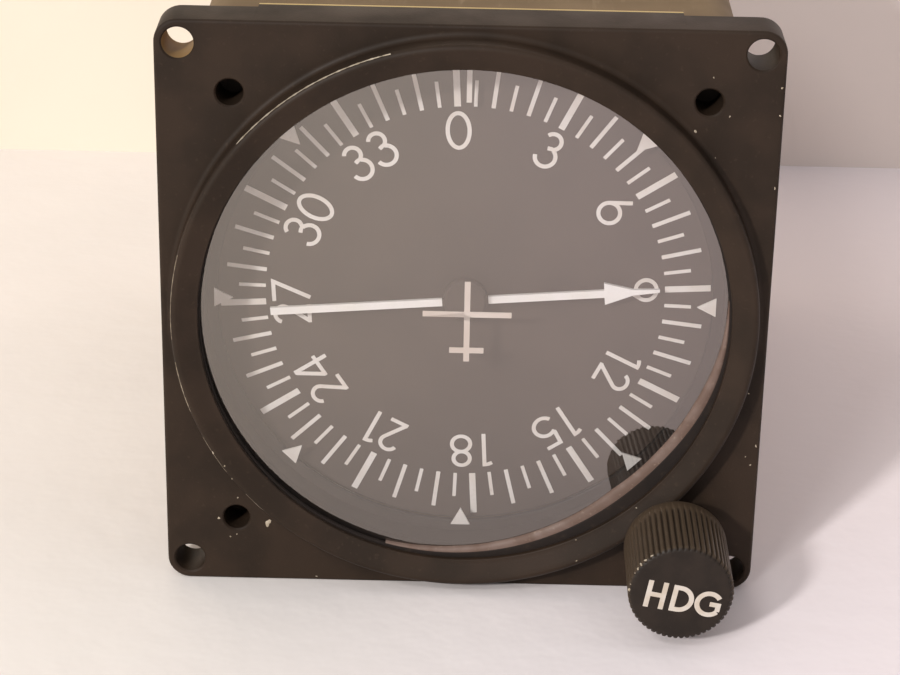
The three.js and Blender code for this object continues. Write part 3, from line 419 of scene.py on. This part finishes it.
def edgeWearAndHighlight(first, last, width, s):
    # A thin strip on the boss's rounded edge, partly worn paint and partly a painted highlight where the edge
    # faces the light. Its section turns about the edge's own centre to half the width on each side of
    # edgeTurn, and the width swells with the bearing b, a plain number of degrees, as 1 + 0.35 sin(1.9 b) +
    # 0.3 sin(4.7 b)
    bearing = np.linspace(first, last, 90)
    swell = width * (1 + 0.35 * np.sin(1.9 * bearing) + 0.3 * np.sin(4.7 * bearing)) / 2 / s["bossEdge"]
    turn = math.radians(wear["edgeTurn"]) + swell[:, None] * np.array([-1, 1, 1, -1])
    lift, root = wear["edgeLift"], wear["edgeRoot"]
    reach = s["bossEdge"] + np.array([lift, lift, -root, -root])
    radius = s["boss"] - s["bossEdge"] + reach * np.sin(turn)
    depth = s["bossFront"] + s["bossEdge"] - reach * np.cos(turn)
    b = np.radians(bearing)[:, None]
    return capped(np.stack([radius * np.sin(b), depth, radius * np.cos(b)], -1))


bareMetal = finish("bare aluminium under lost paint", bareLook)[0]
s = bezelSizes
places = [(x, 0.0, z, size, tall) for x, z, size, tall in wear["flange"]]
for bearing, radius, size in wear["boss"]:
    # On the dish's slope, or past it on the boss's rounded edge
    b, e = math.radians(bearing), s["bossEdge"]
    past = radius - (s["boss"] - e)
    if past < -e * math.sin(math.atan(1 / s["dishRun"])):
        y = s["lipFront"] - (radius - s["window"] - s["dishFrom"]) / s["dishRun"]
    else:
        y = s["bossFront"] + e - math.sqrt(e * e - past * past)
    places.append((radius * math.sin(b), y, radius * math.cos(b), size, wear["bossTall"]))
bare = flakes(places, wear["lift"]) + [(edgeWearAndHighlight(*span, s), False, True) for span in wear["edge"]]
makePiece("bare_metal", bare, bareMetal, "housing")
print("worn places")


# Window: glass between two gaskets, a crescent of painted light on it, and the ring behind them

paneGlass = {"radius": 37.3, "front": -1.0, "back": 1.0, "edge": 0.15, "index": 2.68, "roughness": 0.012,
             "tint": "ffffff", "sheen": "f6ede6", "crown": 446}
sealSizes = {"outer": 37.3, "front": (-1.7, -1.0), "rear": (1.0, 1.7), "rearInner": 35.6, "steps": 192,
             "edge": 0.1, "frontInner": 35.85, "swell": 1.55, "middle": 133, "width": (24, 42)}
litCrescentSizes = {"front": -1.6, "lift": 0.005, "at": (84, 95, 110, 125, 140, 160, 180, 197),
             "inner": (35.7, 35.0, 33.8, 33.1, 32.8, 33.6, 34.6, 35.5),
             "outer": (35.85, 35.95, 35.8, 35.3, 35.3, 35.6, 35.9, 35.9)}
ringSizes = {"outer": 37.3, "bore": 35.6, "lip": 34.05, "front": 1.7, "face": 5.4, "back": 6.2,
             "edge": 0.1, "worn": 0.12, "wallMargin": 0.02}
# Black moulded neoprene, dull, with a dusty bloom in spots of a millimetre or two
sealFinish = {
    "base": "1c1410", "second": "221914", "patch": 6, "speck": 1.5, "speckColour": "34291f",
    "speckMost": 0.5, "grain": 0.3, "relief": 0.02, "rough": (0.75, 0.85), "specular": 0.3,
}
# Tan paint for a crescent of painted light, where the key light falls on the window's wall at the lower
# right: smooth, with specks of half a millimetre
litCrescentFinish = {
    "base": "705d54", "second": "634f45", "patch": 3, "speck": 0.5, "speckColour": "8f7c6c",
    "speckMost": 0.5, "grain": 0.4, "relief": 0.03, "rough": (0.5, 0.65), "specular": 0.3,
}
# Matte dial paint on turned aluminium, a little lighter on the wall; the lip's inner edge is painted darker
# as shade
ringFinish = {
    "base": "28201d", "second": "231b18", "patch": 10, "speck": 0.6, "speckColour": "352b26",
    "speckMost": 0.3, "grain": 0.25, "relief": 0.01, "rough": (0.7, 0.8), "specular": 0.3,
    # edge is painted shade for the lip's inner chamfer and wall
    "wall": "2a211d", "edge": "15100e",
}


def sealGrid(inner, span, s):
    # A flat ring with bevelled inner corners, whose inner radius is given for each bearing
    angle = np.linspace(0, 2 * math.pi, len(inner), endpoint=False)[:, None]
    (front, back), e = span, s["edge"]
    bevelled = inner[:, None] + np.array([e, 0, 0, e])
    radius = np.concatenate([bevelled, np.full((len(inner), 2), s["outer"])], 1)
    depth = np.array([front, front + e, back - e, back, back, front])
    return np.stack([radius * np.sin(angle), depth + 0 * angle, radius * np.cos(angle)], -1)


# The front seal's inner edge comes inwards at the lower right, by swell times exp(-((bearing - middle) /
# width)^2), with one width before the middle and another after it. The dark band it makes there is partly the
# seal and partly painted shade beside the lip
s = sealSizes
bearing = np.linspace(0, 360, s["steps"], endpoint=False)
width = np.where(bearing < s["middle"], *s["width"])
inner = s["frontInner"] - s["swell"] * np.exp(-((bearing - s["middle"]) / width) ** 2)
rubber = finish("black moulded neoprene", sealFinish)[0]
front = sealGrid(inner, s["front"], s)
rear = sealGrid(np.full(s["steps"], s["rearInner"]), s["rear"], s)
makePiece("front_seal", [(front, True, True)], rubber, "housing", ["front_gasket"])
makePiece("rear_seal", [(rear, True, True)], rubber, "housing", ["rear_gasket"])

# A crescent of painted light lies on the glass at the lower right: tan paint where the key light falls on the
# window's wall. Its section is half an ellipse that stands on the glass, from the inner to the outer radius
# at each bearing
s = litCrescentSizes
bearing = np.linspace(s["at"][0], s["at"][-1], 114)
inner, outer = (np.interp(bearing, s["at"], s[side])[:, None] for side in ("inner", "outer"))
b, across = np.radians(bearing)[:, None], np.radians(np.linspace(0, 180, 9))
radius = (inner + outer) / 2 - (outer - inner) / 2 * np.cos(across)
glassFront = paneGlass["front"]
depth = glassFront + s["lift"] + (s["front"] - glassFront) * np.sin(across) + 0 * radius
litCrescent = capped(np.stack([radius * np.sin(b), depth, radius * np.cos(b)], -1))
litCrescentPaint = finish("tan paint standing for light on the window wall", litCrescentFinish)[0]
makePiece("painted_light_crescent", [(litCrescent, False, True)], litCrescentPaint, "housing")

# Lead glass that veils the dark card with the pale table in front of it. Only the face that a ray meets
# from outside reflects, with an index above the real glass's, so that it stands for both faces. The
# outline is flat, but the normal leans outwards as on a crown of that radius, by the distance from the
# middle over it
s = paneGlass
glass = bpy.data.materials.new("ground lead glass")
glass.use_nodes = True
tree = glass.node_tree
tree.nodes.remove(tree.nodes["Principled BSDF"])
objectPlace = addNode(tree, "ShaderNodeTexCoord", {}, "Object")
crown = 1000 / s["crown"]
lean = addNode(tree, "ShaderNodeMapping", {
    "Vector": objectPlace, "Location": (-dialAt * crown / 1000 * (1, 0, 1)).tolist(),
    "Scale": (crown, 0, crown)})
geometry = addNode(tree, "ShaderNodeNewGeometry", {}, "Normal")
leaning = addNode(tree, "ShaderNodeVectorMath", {0: geometry, 1: lean}, operation="ADD")
normal = addNode(tree, "ShaderNodeVectorMath", {0: leaning}, operation="NORMALIZE")
index = addNode(tree, "ShaderNodeMapRange", {
    "Value": geometry.node.outputs["Backfacing"], "To Min": s["index"], "To Max": 1.0})
share = addNode(tree, "ShaderNodeFresnel", {"IOR": index, "Normal": normal})
clear = addNode(tree, "ShaderNodeBsdfTransparent", {"Color": hexColour(s["tint"])})
gloss = addNode(tree, "ShaderNodeBsdfGlossy", {
    "Color": hexColour(s["sheen"]), "Roughness": s["roughness"], "Normal": normal})
mixed = addNode(tree, "ShaderNodeMixShader", {0: share, 1: clear, 2: gloss})
tree.links.new(mixed, tree.nodes["Material Output"].inputs["Surface"])
e, r, f, b = s["edge"], s["radius"], s["front"], s["back"]
pane = [(0, f), (r - e, f), (r, f + e), (r, b - e), (r - e, b), (0, b)]
makePiece("glass_pane", [(turned(pane), True, False)], glass, "housing", ["window_glass"])

s = ringSizes
ringPaint, tree, shader, place, colour = finish("matte dial paint on a turned ring", ringFinish)
split = addNode(tree, "ShaderNodeSeparateXYZ", {"Vector": place})
acrossRing = addNode(tree, "ShaderNodeVectorMath", {0: place, 1: (1, 0, 1)}, operation="MULTIPLY")
ringRadius = addNode(tree, "ShaderNodeVectorMath", {0: acrossRing}, 1, operation="LENGTH")
# Inside the lip's edge the colour is painted shade: the lip's inner chamfer and wall are darkened as if in
# shadow beside the card
onEdge = addNode(tree, "ShaderNodeMath", {0: ringRadius, 1: s["lip"] + s["worn"]}, operation="LESS_THAN")
lipEdgeShade = addNode(tree, "ShaderNodeMix", {
    0: onEdge, 6: colour, 7: hexColour(ringFinish["edge"])}, 2, data_type="RGBA")
inFront = addNode(tree, "ShaderNodeMath", {
    0: split.node.outputs[1], 1: s["face"] - s["wallMargin"]}, operation="LESS_THAN")
walled = addNode(tree, "ShaderNodeMix", {
    0: inFront, 6: lipEdgeShade, 7: hexColour(ringFinish["wall"])}, 2, data_type="RGBA")
tree.links.new(walled, shader.inputs["Base Color"])
ring = [(s["outer"], s["front"]), (s["bore"] + s["edge"], s["front"]), (s["bore"], s["front"] + s["edge"]),
        (s["bore"], s["face"]), (s["lip"] + s["worn"], s["face"]), (s["lip"], s["face"] + s["worn"]),
        (s["lip"], s["back"]), (s["outer"], s["back"])]
makePiece("dial_ring", [(turned(ring, 256), True, True)], ringPaint, "housing", ["mask_ring"])
print("window")


# Card: a disc with printed graduations and numbers

cardSizes = {
    "radius": 34.7, "bore": 2.0, "face": 7.65, "back": 8.55, "edge": 0.1, "turn": -3.2,
    "print": 0.06, "printRoot": 0.1, "strokeStep": 0.004,
    "tickInner": 27.6, "fiveOuter": 31.3, "tenOuter": 33.1, "thirtyOuter": 33.9,
    "fiveWidth": 0.5, "tenWidth": 0.58, "thirtyWidth": 0.9, "numberMiddle": 24.18, "numberHeight": 5.5,
    "pen": 0.57, "gap": 0.55, "gapAfterOne": 1.35, "shrink": 0.035, "draw": 0.1,
}
# Matte black dial paint sprayed on aluminium, faintly mottled and almost without sheen
cardFinish = {
    "base": "3f342e", "second": "392f2a", "patch": 12, "speck": 0.5, "speckColour": "4a3f38",
    "speckMost": 0.2, "grain": 0.25, "relief": 0.01, "rough": (0.7, 0.8), "specular": 0.3,
}
# Silk-screened off-white enamel, yellowed in places a few millimetres across, with thin spots
markFinish = {
    "base": "ded8d4", "second": "d8cfc8", "patch": 4, "speck": 0.5, "speckColour": "b5a99f",
    "speckMost": 0.4, "grain": 0.5, "relief": 0.01, "rough": (0.55, 0.65), "specular": 0.3,
}
s = cardSizes
blackCard = finish("matte black dial paint", cardFinish)[0]
whiteMarks = finish("silk-screened off-white enamel", markFinish)[0]
disc = [(s["bore"], s["face"]), (s["radius"] - s["edge"], s["face"]), (s["radius"], s["face"] + s["edge"]),
        (s["radius"], s["back"]), (s["bore"], s["back"])]
makePiece("card_disc", [(turned(disc, 256), True, True)], blackCard, "card", ["azimuth_card"])

# The ink reaches top over the middle of a number, and the pen's own middle reaches h
top = s["numberHeight"] / 2
h = top - s["pen"] / 2
# Each number's strokes, and which of them are closed
numbers = {
    "0": [(arc(1.48, 0, 360, 49, flat=h / 1.48)[:-1], True)],
    "1": [([(0, -top), (0, top)], False), ([(0.1, h), (-0.5, h - 0.05), (-1.07, h - 0.3)], False)],
    "2": [(np.concatenate([arc(1.18, 165, -33.9, 24, (0, h - 1.18)), [(-1.1, -h)]]), False),
          ([(-1.35, -h), (1.35, -h)], False)],
    "3": [(arc(1.14, 152, -70, 22, (-0.05, h - 1.14)), False), (arc(1.4, 66, -168, 26, (0, 1.4 - h)), False),
          ([(-0.3, 0.18), (0.35, 0.36)], False)],
    "4": [([(0.75, top), (0.75, -top)], False), ([(0.62, h + 0.1), (-1.62, -1.05)], False),
          ([(-1.85, -1.05), (1.62, -1.05)], False)],
    "5": [([(1.25, h), (-0.88, h), (-1.05, 0.3)], False), (arc(1.5, 132, -150, 28, (-0.1, 1.5 - h)), False)],
    "6": [(arc(1.5, 0, 360, 49, (0, 1.5 - h))[:-1], True), ([(-1.26, 2.32 - h), (0.5, h + 0.08)], False)],
    "7": [([(-1.55, h), (1.4, h), (-1.15, -top)], False)],
    "8": [(arc(1.3, 0, 360, 41, (0, 1.3 - h))[:-1], True), (arc(1.16, 0, 360, 37, (0, h - 1.16))[:-1], True)],
}
numbers["9"] = [(-np.asarray(path), closed) for path, closed in numbers["6"]]

marks = []
front, back = s["face"] - s["print"], s["face"] + s["printRoot"]
for bearing in range(0, 360, 5):
    kind = "thirty" if bearing % 30 == 0 else "ten" if bearing % 10 == 0 else "five"
    path = onDial(np.array([(0, s["tickInner"]), (0, s[kind + "Outer"])]), bearing + s["turn"])
    marks.append(raised(penStroke(path, s[kind + "Width"]), front, back))
for bearing in range(0, 360, 30):
    # The inked widths and the gap between them are centred together. Numbers lose height and move in
    # towards the bottom, by shrink and draw times 1 - cos of the bearing. Each stroke's front lies a
    # little before the last one's, so that none lie in one plane
    lower = 1 - math.cos(math.radians(bearing))
    tall = np.array([1, 1 - s["shrink"] * lower])
    digits = str(bearing // 10)
    gap = s["gapAfterOne"] if digits[0] == "1" else s["gap"]
    inked = [[(penStroke(path, s["pen"], closed), closed) for path, closed in numbers[n]] for n in digits]
    across = [np.concatenate([flat[..., 0].ravel() for flat, _ in ink]) for ink in inked]
    sides = [(xs.min(), xs.max()) for xs in across]
    at = -(sum(right - left for left, right in sides) + gap * (len(inked) - 1)) / 2
    for ink, (left, right) in zip(inked, sides):
        for i, (flat, closed) in enumerate(ink):
            placed = flat * tall + np.array([at - left, s["numberMiddle"] - s["draw"] * lower])
            placed = onDial(placed, bearing + s["turn"])
            marks.append(raised(placed, front - s["strokeStep"] * i, back, closed))
        at += right - left + gap
makePiece("card_print", marks, whiteMarks, "card")
print("card")


# Pointer: white ends on a dark middle

needle = {"bearing": 85.4, "front": 5.5, "back": 6.0, "tail": 26.9, "tailFrom": 3.15, "width": 1.06,
          "frontFrom": 3.22, "headAt": 19.2, "headStep": 0.01, "headHalf": 1.6, "headEnd": 23.1,
          "headEndHalf": 0.42, "point": 26.8, "pointHalf": 0.2,
          "hub": 3.0, "hubFlat": 2.7, "hubFront": 5.4, "hubEdge": 5.65, "hubBack": 6.8}
# Sprayed white lacquer on thin sheet, whiter than the printed marks
needleFinish = {**markFinish, "base": "e9e4e2", "second": "e4dfda", "patch": 5, "speckMost": 0.2}


def blade(stations, s):
    # A flat strip whose half width follows the stations (distance from the pivot, half width)
    stations = np.array(stations, float)
    flat = np.stack([np.stack([side * stations[:, 1], stations[:, 0]], -1) for side in (1, -1, -1, 1)], 1)
    return raised(onDial(flat, s["bearing"]), s["front"], s["back"])


s = needle
half = s["width"] / 2
head = np.linspace((s["headAt"], s["headHalf"]), (s["headEnd"], s["headEndHalf"]), 8)
front = [(s["frontFrom"], half), (s["headAt"] - s["headStep"], half), *head, (s["point"], s["pointHalf"])]
whiteBlades = [blade([(-s["tail"], half), (-s["tailFrom"], half)], s), blade(front, s)]
lacquer = finish("white lacquer on thin sheet", needleFinish)[0]
makePiece("pointer_ends", whiteBlades, lacquer, "pointer", ["bearing_pointer"])
hubDisc = [(0, s["hubFront"]), (s["hubFlat"], s["hubFront"]), (s["hub"], s["hubEdge"]),
           (s["hub"], s["hubBack"]), (0, s["hubBack"])]
middle = [(turned(hubDisc, 96), True, False), blade([(-s["tailFrom"], half), (s["frontFrom"], half)], s)]
makePiece("pointer_middle", middle, blackCard, "pointer")
print("pointer")


# Knob: fluted skirt, chamfer and flat cap with its function word

# The heel gives its points as inset from the radius and way forward of the back, and the rim as inset,
# way behind the front and share of the flutes' depth
knob = {
    "centre": bezelSizes["bushingAt"], "radius": 7.15, "front": -17.97, "back": -4.5, "bore": 2.05,
    "boreFront": -15.8, "flutes": 54, "samples": 12, "depth": 0.3, "plain": 2.0, "fade": 0.5, "fluteTo": 0.9,
    "shallow": 0.6, "shallowAt": 280, "shallowWidth": 35,
    "heel": [(0.35, 0), (0.1, 0.1), (0, 0.3)],
    "rim": [(0, 0.55, 1), (0.04, 0.42, 1), (0.2, 0.2, 0.9), (0.43, 0.05, 0.3), (0.55, 0, 0), (0.85, 0, 0)],
}
# Baked black enamel on turned aluminium, browned by handling where it is gripped
knobFinish = {
    "base": "2a221c", "second": "231c17", "patch": 3, "speck": 0.5, "speckColour": "3e332a",
    "speckMost": 0.3, "grain": 0.3, "relief": 0.03, "rough": (0.42, 0.55), "specular": 0.2,
    "skirt": "45382b", "gripFrom": 6.8, "gripTo": 7.12,
}
# Bearing about the knob's axis and size of the worn flute ends
knobWear = {
    "lift": 0.05, "radius": 6.95, "behind": 0.25, "tall": 1.0,
    "ends": [(323, 0.2), (314.7, 0.2), (307.3, 0.22), (301, 0.18), (295, 0.09), (280, 0.09), (272.3, 0.26)],
}
legend = {"turn": 10.3, "pen": 0.68, "raise": 0.03, "root": 0.1, "strokeStep": 0.003}
# White paint rubbed into cut letters, tanned by handling
legendFinish = {**markFinish, "base": "c8beb3", "second": "beb0a0", "patch": 2}


def knobGrid(s):
    # Radius at an angle is the profile's, less a narrow groove: depth times cos^6 of half the flute's
    # phase. It fades out over the rim, leaves a plain band at the back, and is rubbed shallower at the
    # left, by a share of shallow times exp(-((bearing - shallowAt) / shallowWidth)^2)
    outer, front, back = s["radius"], s["front"], s["back"]
    profile = [(s["bore"], s["boreFront"], 0), (s["bore"], back, 0)]
    profile += [(outer - inset, back - forward, 0) for inset, forward in s["heel"]]
    profile += [(outer, back - s["plain"], 0)]
    profile += [(outer, y, 1) for y in np.linspace(back - s["plain"] - s["fade"], front + s["fluteTo"], 6)]
    profile += [(outer - inset, front + behind, share) for inset, behind, share in s["rim"]]
    profile += [(0, front, 0)]
    radius, depth, share = np.array(profile).T
    count = s["flutes"] * s["samples"]
    angle = np.linspace(0, 2 * math.pi, count, endpoint=False)[:, None]
    groove = np.cos(angle * s["flutes"] / 2) ** 6
    lipEdgeShade = s["shallow"] * np.exp(-((np.degrees(angle) - s["shallowAt"]) / s["shallowWidth"]) ** 2)
    across = radius - s["depth"] * share * groove * (1 - lipEdgeShade)
    return np.stack([s["centre"][0] + across * np.sin(angle), depth + 0 * angle,
                     s["centre"][1] + across * np.cos(angle)], -1)


s = knob
knobEnamel, tree, shader, place, colour = finish("baked black enamel on a turned knob", knobFinish)
fromKnob = addNode(tree, "ShaderNodeVectorMath", {0: place, 1: (s["centre"][0], 0, s["centre"][1])},
                   operation="SUBTRACT")
acrossKnob = addNode(tree, "ShaderNodeVectorMath", {0: fromKnob, 1: (1, 0, 1)}, operation="MULTIPLY")
knobRadius = addNode(tree, "ShaderNodeVectorMath", {0: acrossKnob}, 1, operation="LENGTH")
gripped = addNode(tree, "ShaderNodeMapRange", {
    "Value": knobRadius, "From Min": knobFinish["gripFrom"], "From Max": knobFinish["gripTo"]})
browned = addNode(tree, "ShaderNodeMix", {
    0: gripped, 6: colour, 7: hexColour(knobFinish["skirt"])}, 2, data_type="RGBA")
tree.links.new(browned, shader.inputs["Base Color"])
fluted = knobGrid(s)
boreMiddle = (s["centre"][0], s["boreFront"], s["centre"][1])
fluted = np.concatenate([np.full((len(fluted), 1, 3), boreMiddle), fluted], 1)
makePiece("fluted_knob", [(fluted, True, False)], knobEnamel, "knob", ["control_knob"], 60)
ends = []
for bearing, size in knobWear["ends"]:
    b, reach = math.radians(bearing), knobWear["radius"]
    ends.append((s["centre"][0] + reach * math.sin(b), s["front"] + knobWear["behind"],
                 s["centre"][1] + reach * math.cos(b), size, knobWear["tall"]))
makePiece("worn_flute_ends", flakes(ends, knobWear["lift"]), bareMetal, "knob")

# The word's strokes about the cap's middle, before its turn, and which of them are closed
word = [
    ([(-4.33, -2.82), (-4.33, 1.3)], False), ([(-2.28, -2.82), (-2.28, 1.3)], False),
    ([(-4.33, -0.76), (-2.28, -0.76)], False),
    (np.concatenate([[(-0.82, -2.42), (-0.82, 0.9)], arc(1.66, 90, -90, 20, (-0.1, -0.76))]), True),
    (arc(1.62, 38, 322, 34, (4.0, -0.76)), False), ([(4.1, -0.72), (5.3, -0.72), (5.3, -1.7)], False),
]
letters = []
for i, (path, closed) in enumerate(word):
    flat = onDial(penStroke(path, legend["pen"], closed), legend["turn"]) + np.array(s["centre"])
    front = s["front"] - legend["raise"] + legend["strokeStep"] * i
    letters.append(raised(flat, front, s["front"] + legend["root"], closed))
wordPaint = finish("paint rubbed into cut letters", legendFinish)[0]
makePiece("knob_word", letters, wordPaint, "knob")
print("knob")


# Case: drawn square shell

caseSizes = {"half": bezelSizes["case"], "corner": bezelSizes["caseCorner"], "wall": 1.2,
             "front": bezelSizes["pad"], "back": 108.2, "frontEdge": 0.2, "backEdge": 0.3, "steps": 480,
             "screwDepth": 11.1, "screwHeight": 26.5, "screwHole": 1.14, "drillReach": 3,
             "screws": [(-1, 1), (1, 1), (-1, -1)]}
# Black enamel on drawn sheet, painted a pale dusty brown that is partly faded paint and partly painted sheen
# for the light its top reflects, with paler streaks about a millimetre wide that run lengthwise
caseFinish = {
    "base": "746046", "second": "6c5941", "patch": 14, "speck": 1.1, "speckColour": "8b7860",
    "speckMost": 0.4, "grain": 0.5, "relief": 0.03, "rough": (0.6, 0.72), "specular": 0.25,
    "drawn": (1, 0.15, 1),
}


def caseGrid(s):
    # A closed wall section, (inset, depth), is carried round the rounded square
    section = np.array([
        (s["frontEdge"], s["front"]), (0, s["front"] + s["frontEdge"]), (0, s["back"] - s["backEdge"]),
        (s["backEdge"], s["back"]), (s["wall"], s["back"]), (s["wall"], s["front"])])
    angle = np.linspace(0, 2 * math.pi, s["steps"], endpoint=False)
    rings = [squareRadius(angle, s["half"] - inset, s["corner"] - inset) for inset in section[:, 0]]
    radius = np.stack(rings, 1)
    return np.stack([radius * np.sin(angle)[:, None], np.broadcast_to(section[:, 1], radius.shape),
                     radius * np.cos(angle)[:, None]], -1)


s = caseSizes
sheetEnamel = finish("dull black enamel on drawn sheet", caseFinish)[0]
caseBody = makePiece(
    "case_body", [(caseGrid(s), True, True)], sheetEnamel, "housing", ["case_shell"])
drills = []
for sideX, sideZ in s["screws"]:
    outside, inside = sideX * (s["half"] + s["drillReach"]), sideX * (s["half"] - s["drillReach"])
    profile = [(0, outside), (s["screwHole"], outside), (s["screwHole"], inside), (0, inside)]
    # Turned about the depth, then laid along x
    lying = turned(profile, 48, (s["screwDepth"], sideZ * s["screwHeight"]))[..., [1, 0, 2]]
    drills.append(makePiece("drill", [(lying, True, False)], sheetEnamel, None))
drillOut(caseBody, drills)
print("case", len(caseBody.data.polygons), "faces")


# Finishes of the carried-over nodes

# Turned stainless steel, hobbed brass and milled aluminium: fine tool lines of about 0.25 mm, drawn out
# along the part's axis, and a few duller stains
metalFinish = {"patch": 5, "speck": 0.8, "speckMost": 0.3, "grain": 0.25, "relief": 0.01, "metal": 1.0,
               "drawn": (1, 0.15, 1)}
steelFinish = {
    **metalFinish, "base": "aaa6a0", "second": "918c85", "speckColour": "7b746c", "rough": (0.28, 0.42)}
brassFinish = {
    **metalFinish, "base": "b5934f", "second": "967841", "speckColour": "7c6136", "rough": (0.3, 0.45)}
aluminiumFinish = {
    **metalFinish, "base": "bab8b3", "second": "a09d97", "speckColour": "8a867f", "rough": (0.36, 0.5)}
# Glass-epoxy laminate under green lacquer, its weave of about 0.6 mm just showing
boardFinish = {"base": "2d4828", "second": "35522d", "patch": 8, "speck": 0.6, "speckColour": "456238",
               "speckMost": 0.5, "grain": 0.6, "relief": 0.02, "rough": (0.3, 0.4)}
# Glass-filled moulding compound: dark, slightly rough, with pale flecks of filler half a millimetre wide
plasticFinish = {"base": "2b2825", "second": "252220", "patch": 6, "speck": 0.5, "speckColour": "57514a",
                 "speckMost": 0.6, "grain": 0.5, "relief": 0.02, "rough": (0.45, 0.55)}

finishes = {
    "black_paint": sheetEnamel, "knob_black": knobEnamel, "card_paint": ringPaint, "mark_paint": whiteMarks,
    "window_glass": glass, "gasket_rubber": rubber,
    "steel": finish("turned stainless steel", steelFinish)[0],
    "brass": finish("hobbed brass", brassFinish)[0],
    "aluminium": finish("milled aluminium", aluminiumFinish)[0],
    "board_laminate": finish("green lacquered laminate", boardFinish)[0],
    "connector_plastic": finish("moulded glass-filled compound", plasticFinish)[0],
}
for part in frame["record"]["subparts"]:
    mesh = nodes[part["node"]].data
    if not nodes[part["node"]].hide_render:
        mesh.materials.clear()
        mesh.materials.append(finishes[part["material_slot"]])
# The symbol's lacquer is greyer than the marks behind it
symbolFinish = {**needleFinish, "base": "cabfb8", "second": "c2b5ac"}
nodes["aircraft_symbol"].data.materials[0] = finish("greyed lacquer on thin sheet", symbolFinish)[0]
print("finishes")


# Floor, backdrop and light

# The stage in millimetres; the lamps' distance and the place that they are aimed at in metres
studio = {"wallAt": 173, "wide": 900, "near": -900, "tall": 500, "lampAway": 2.0, "aim": (0.0, -0.03, 0.04),
          "sky": "fdfdff", "skyLevel": 0.55}
lamps = {
    "key": {"from": (-0.481, -0.766, 0.426), "size": 0.18, "power": 28.0, "colour": (1.0, 0.985, 0.965)},
    "second": {"from": (-0.333, -0.667, 0.667), "size": 0.4, "power": 8.0, "colour": (1.0, 0.99, 0.975)},
}
# Pale cloth and a painted wall, each going over from one colour to another across the stage: the far colour
# on the right is painted shade where the instrument's shadow falls, cooler on the cloth and darker on the
# wall
paleFinish = {"patch": 60, "speck": 5, "speckMost": 0.1, "grain": 5, "rough": (0.88, 0.92), "specular": 0.2}
floorFinish = {**paleFinish, "base": "eee7e1", "second": "ebe4de", "speckColour": "f3ede8", "relief": 0.25,
               "far": "f0e6e8", "from": -60, "to": 60}
wallFinish = {**paleFinish, "base": "e9dccb", "second": "e6d9c8", "speckColour": "eee3d5", "relief": 0.05,
              "far": "e4d7d0", "from": -30, "to": 60}


def sheet(name, corner, first, second, look):
    # A flat sheet, corner plus u times the first side plus v times the second. Its paint goes over into the
    # far colour, which is painted shade, from one x to another
    material, tree, shader, place, colour = finish(name + " finish", look)
    share = addNode(tree, "ShaderNodeMapRange", {
        "Value": addNode(tree, "ShaderNodeSeparateXYZ", {"Vector": place}), "From Min": look["from"],
        "From Max": look["to"]}, interpolation_type="SMOOTHSTEP")
    paintedShadeBlend = addNode(tree, "ShaderNodeMix", {
        0: share, 6: colour, 7: hexColour(look["far"])}, 2, data_type="RGBA")
    tree.links.new(paintedShadeBlend, shader.inputs["Base Color"])
    u, v = np.meshgrid(np.linspace(0, 1, 3), np.linspace(0, 1, 3), indexing="ij")
    points = np.array(corner, float) + u[..., None] * np.array(first) + v[..., None] * np.array(second)
    piece = makePiece(name, [(points, False, False)], material, None, solid=False)
    return tree, shader


s = studio
base, wide = -bezelSizes["half"], s["wide"]
sheet("pale_cloth", (-wide, s["near"], base), (2 * wide, 0, 0), (0, s["wallAt"] - s["near"], 0), floorFinish)
tree, shader = sheet(
    "pale_wall", (-wide, s["wallAt"], base), (2 * wide, 0, 0), (0, 0, s["tall"]), wallFinish)
# From behind the wall is open, so that other views pass through it
behind = addNode(tree, "ShaderNodeNewGeometry", {}, "Backfacing")
opening = addNode(tree, "ShaderNodeBsdfTransparent", {})
mixed = addNode(tree, "ShaderNodeMixShader", {0: behind, 1: shader.outputs[0], 2: opening})
tree.links.new(mixed, tree.nodes["Material Output"].inputs["Surface"])

aim = Vector(s["aim"])
for name, look in lamps.items():
    light = bpy.data.lights.new(name, "AREA")
    light.shape = "DISK"
    light.size = look["size"]
    light.energy = look["power"]
    light.color = look["colour"]
    lamp = bpy.data.objects.new(name, light)
    lamp.location = aim + Vector(look["from"]).normalized() * s["lampAway"]
    lamp.rotation_euler = (lamp.location - aim).to_track_quat("Z", "Y").to_euler()
    bpy.context.scene.collection.objects.link(lamp)

world = bpy.data.worlds.new("studio")
world.use_nodes = True
world.node_tree.nodes["Background"].inputs["Color"].default_value = hexColour(s["sky"])
world.node_tree.nodes["Background"].inputs["Strength"].default_value = s["skyLevel"]
bpy.context.scene.world = world
print("studio")
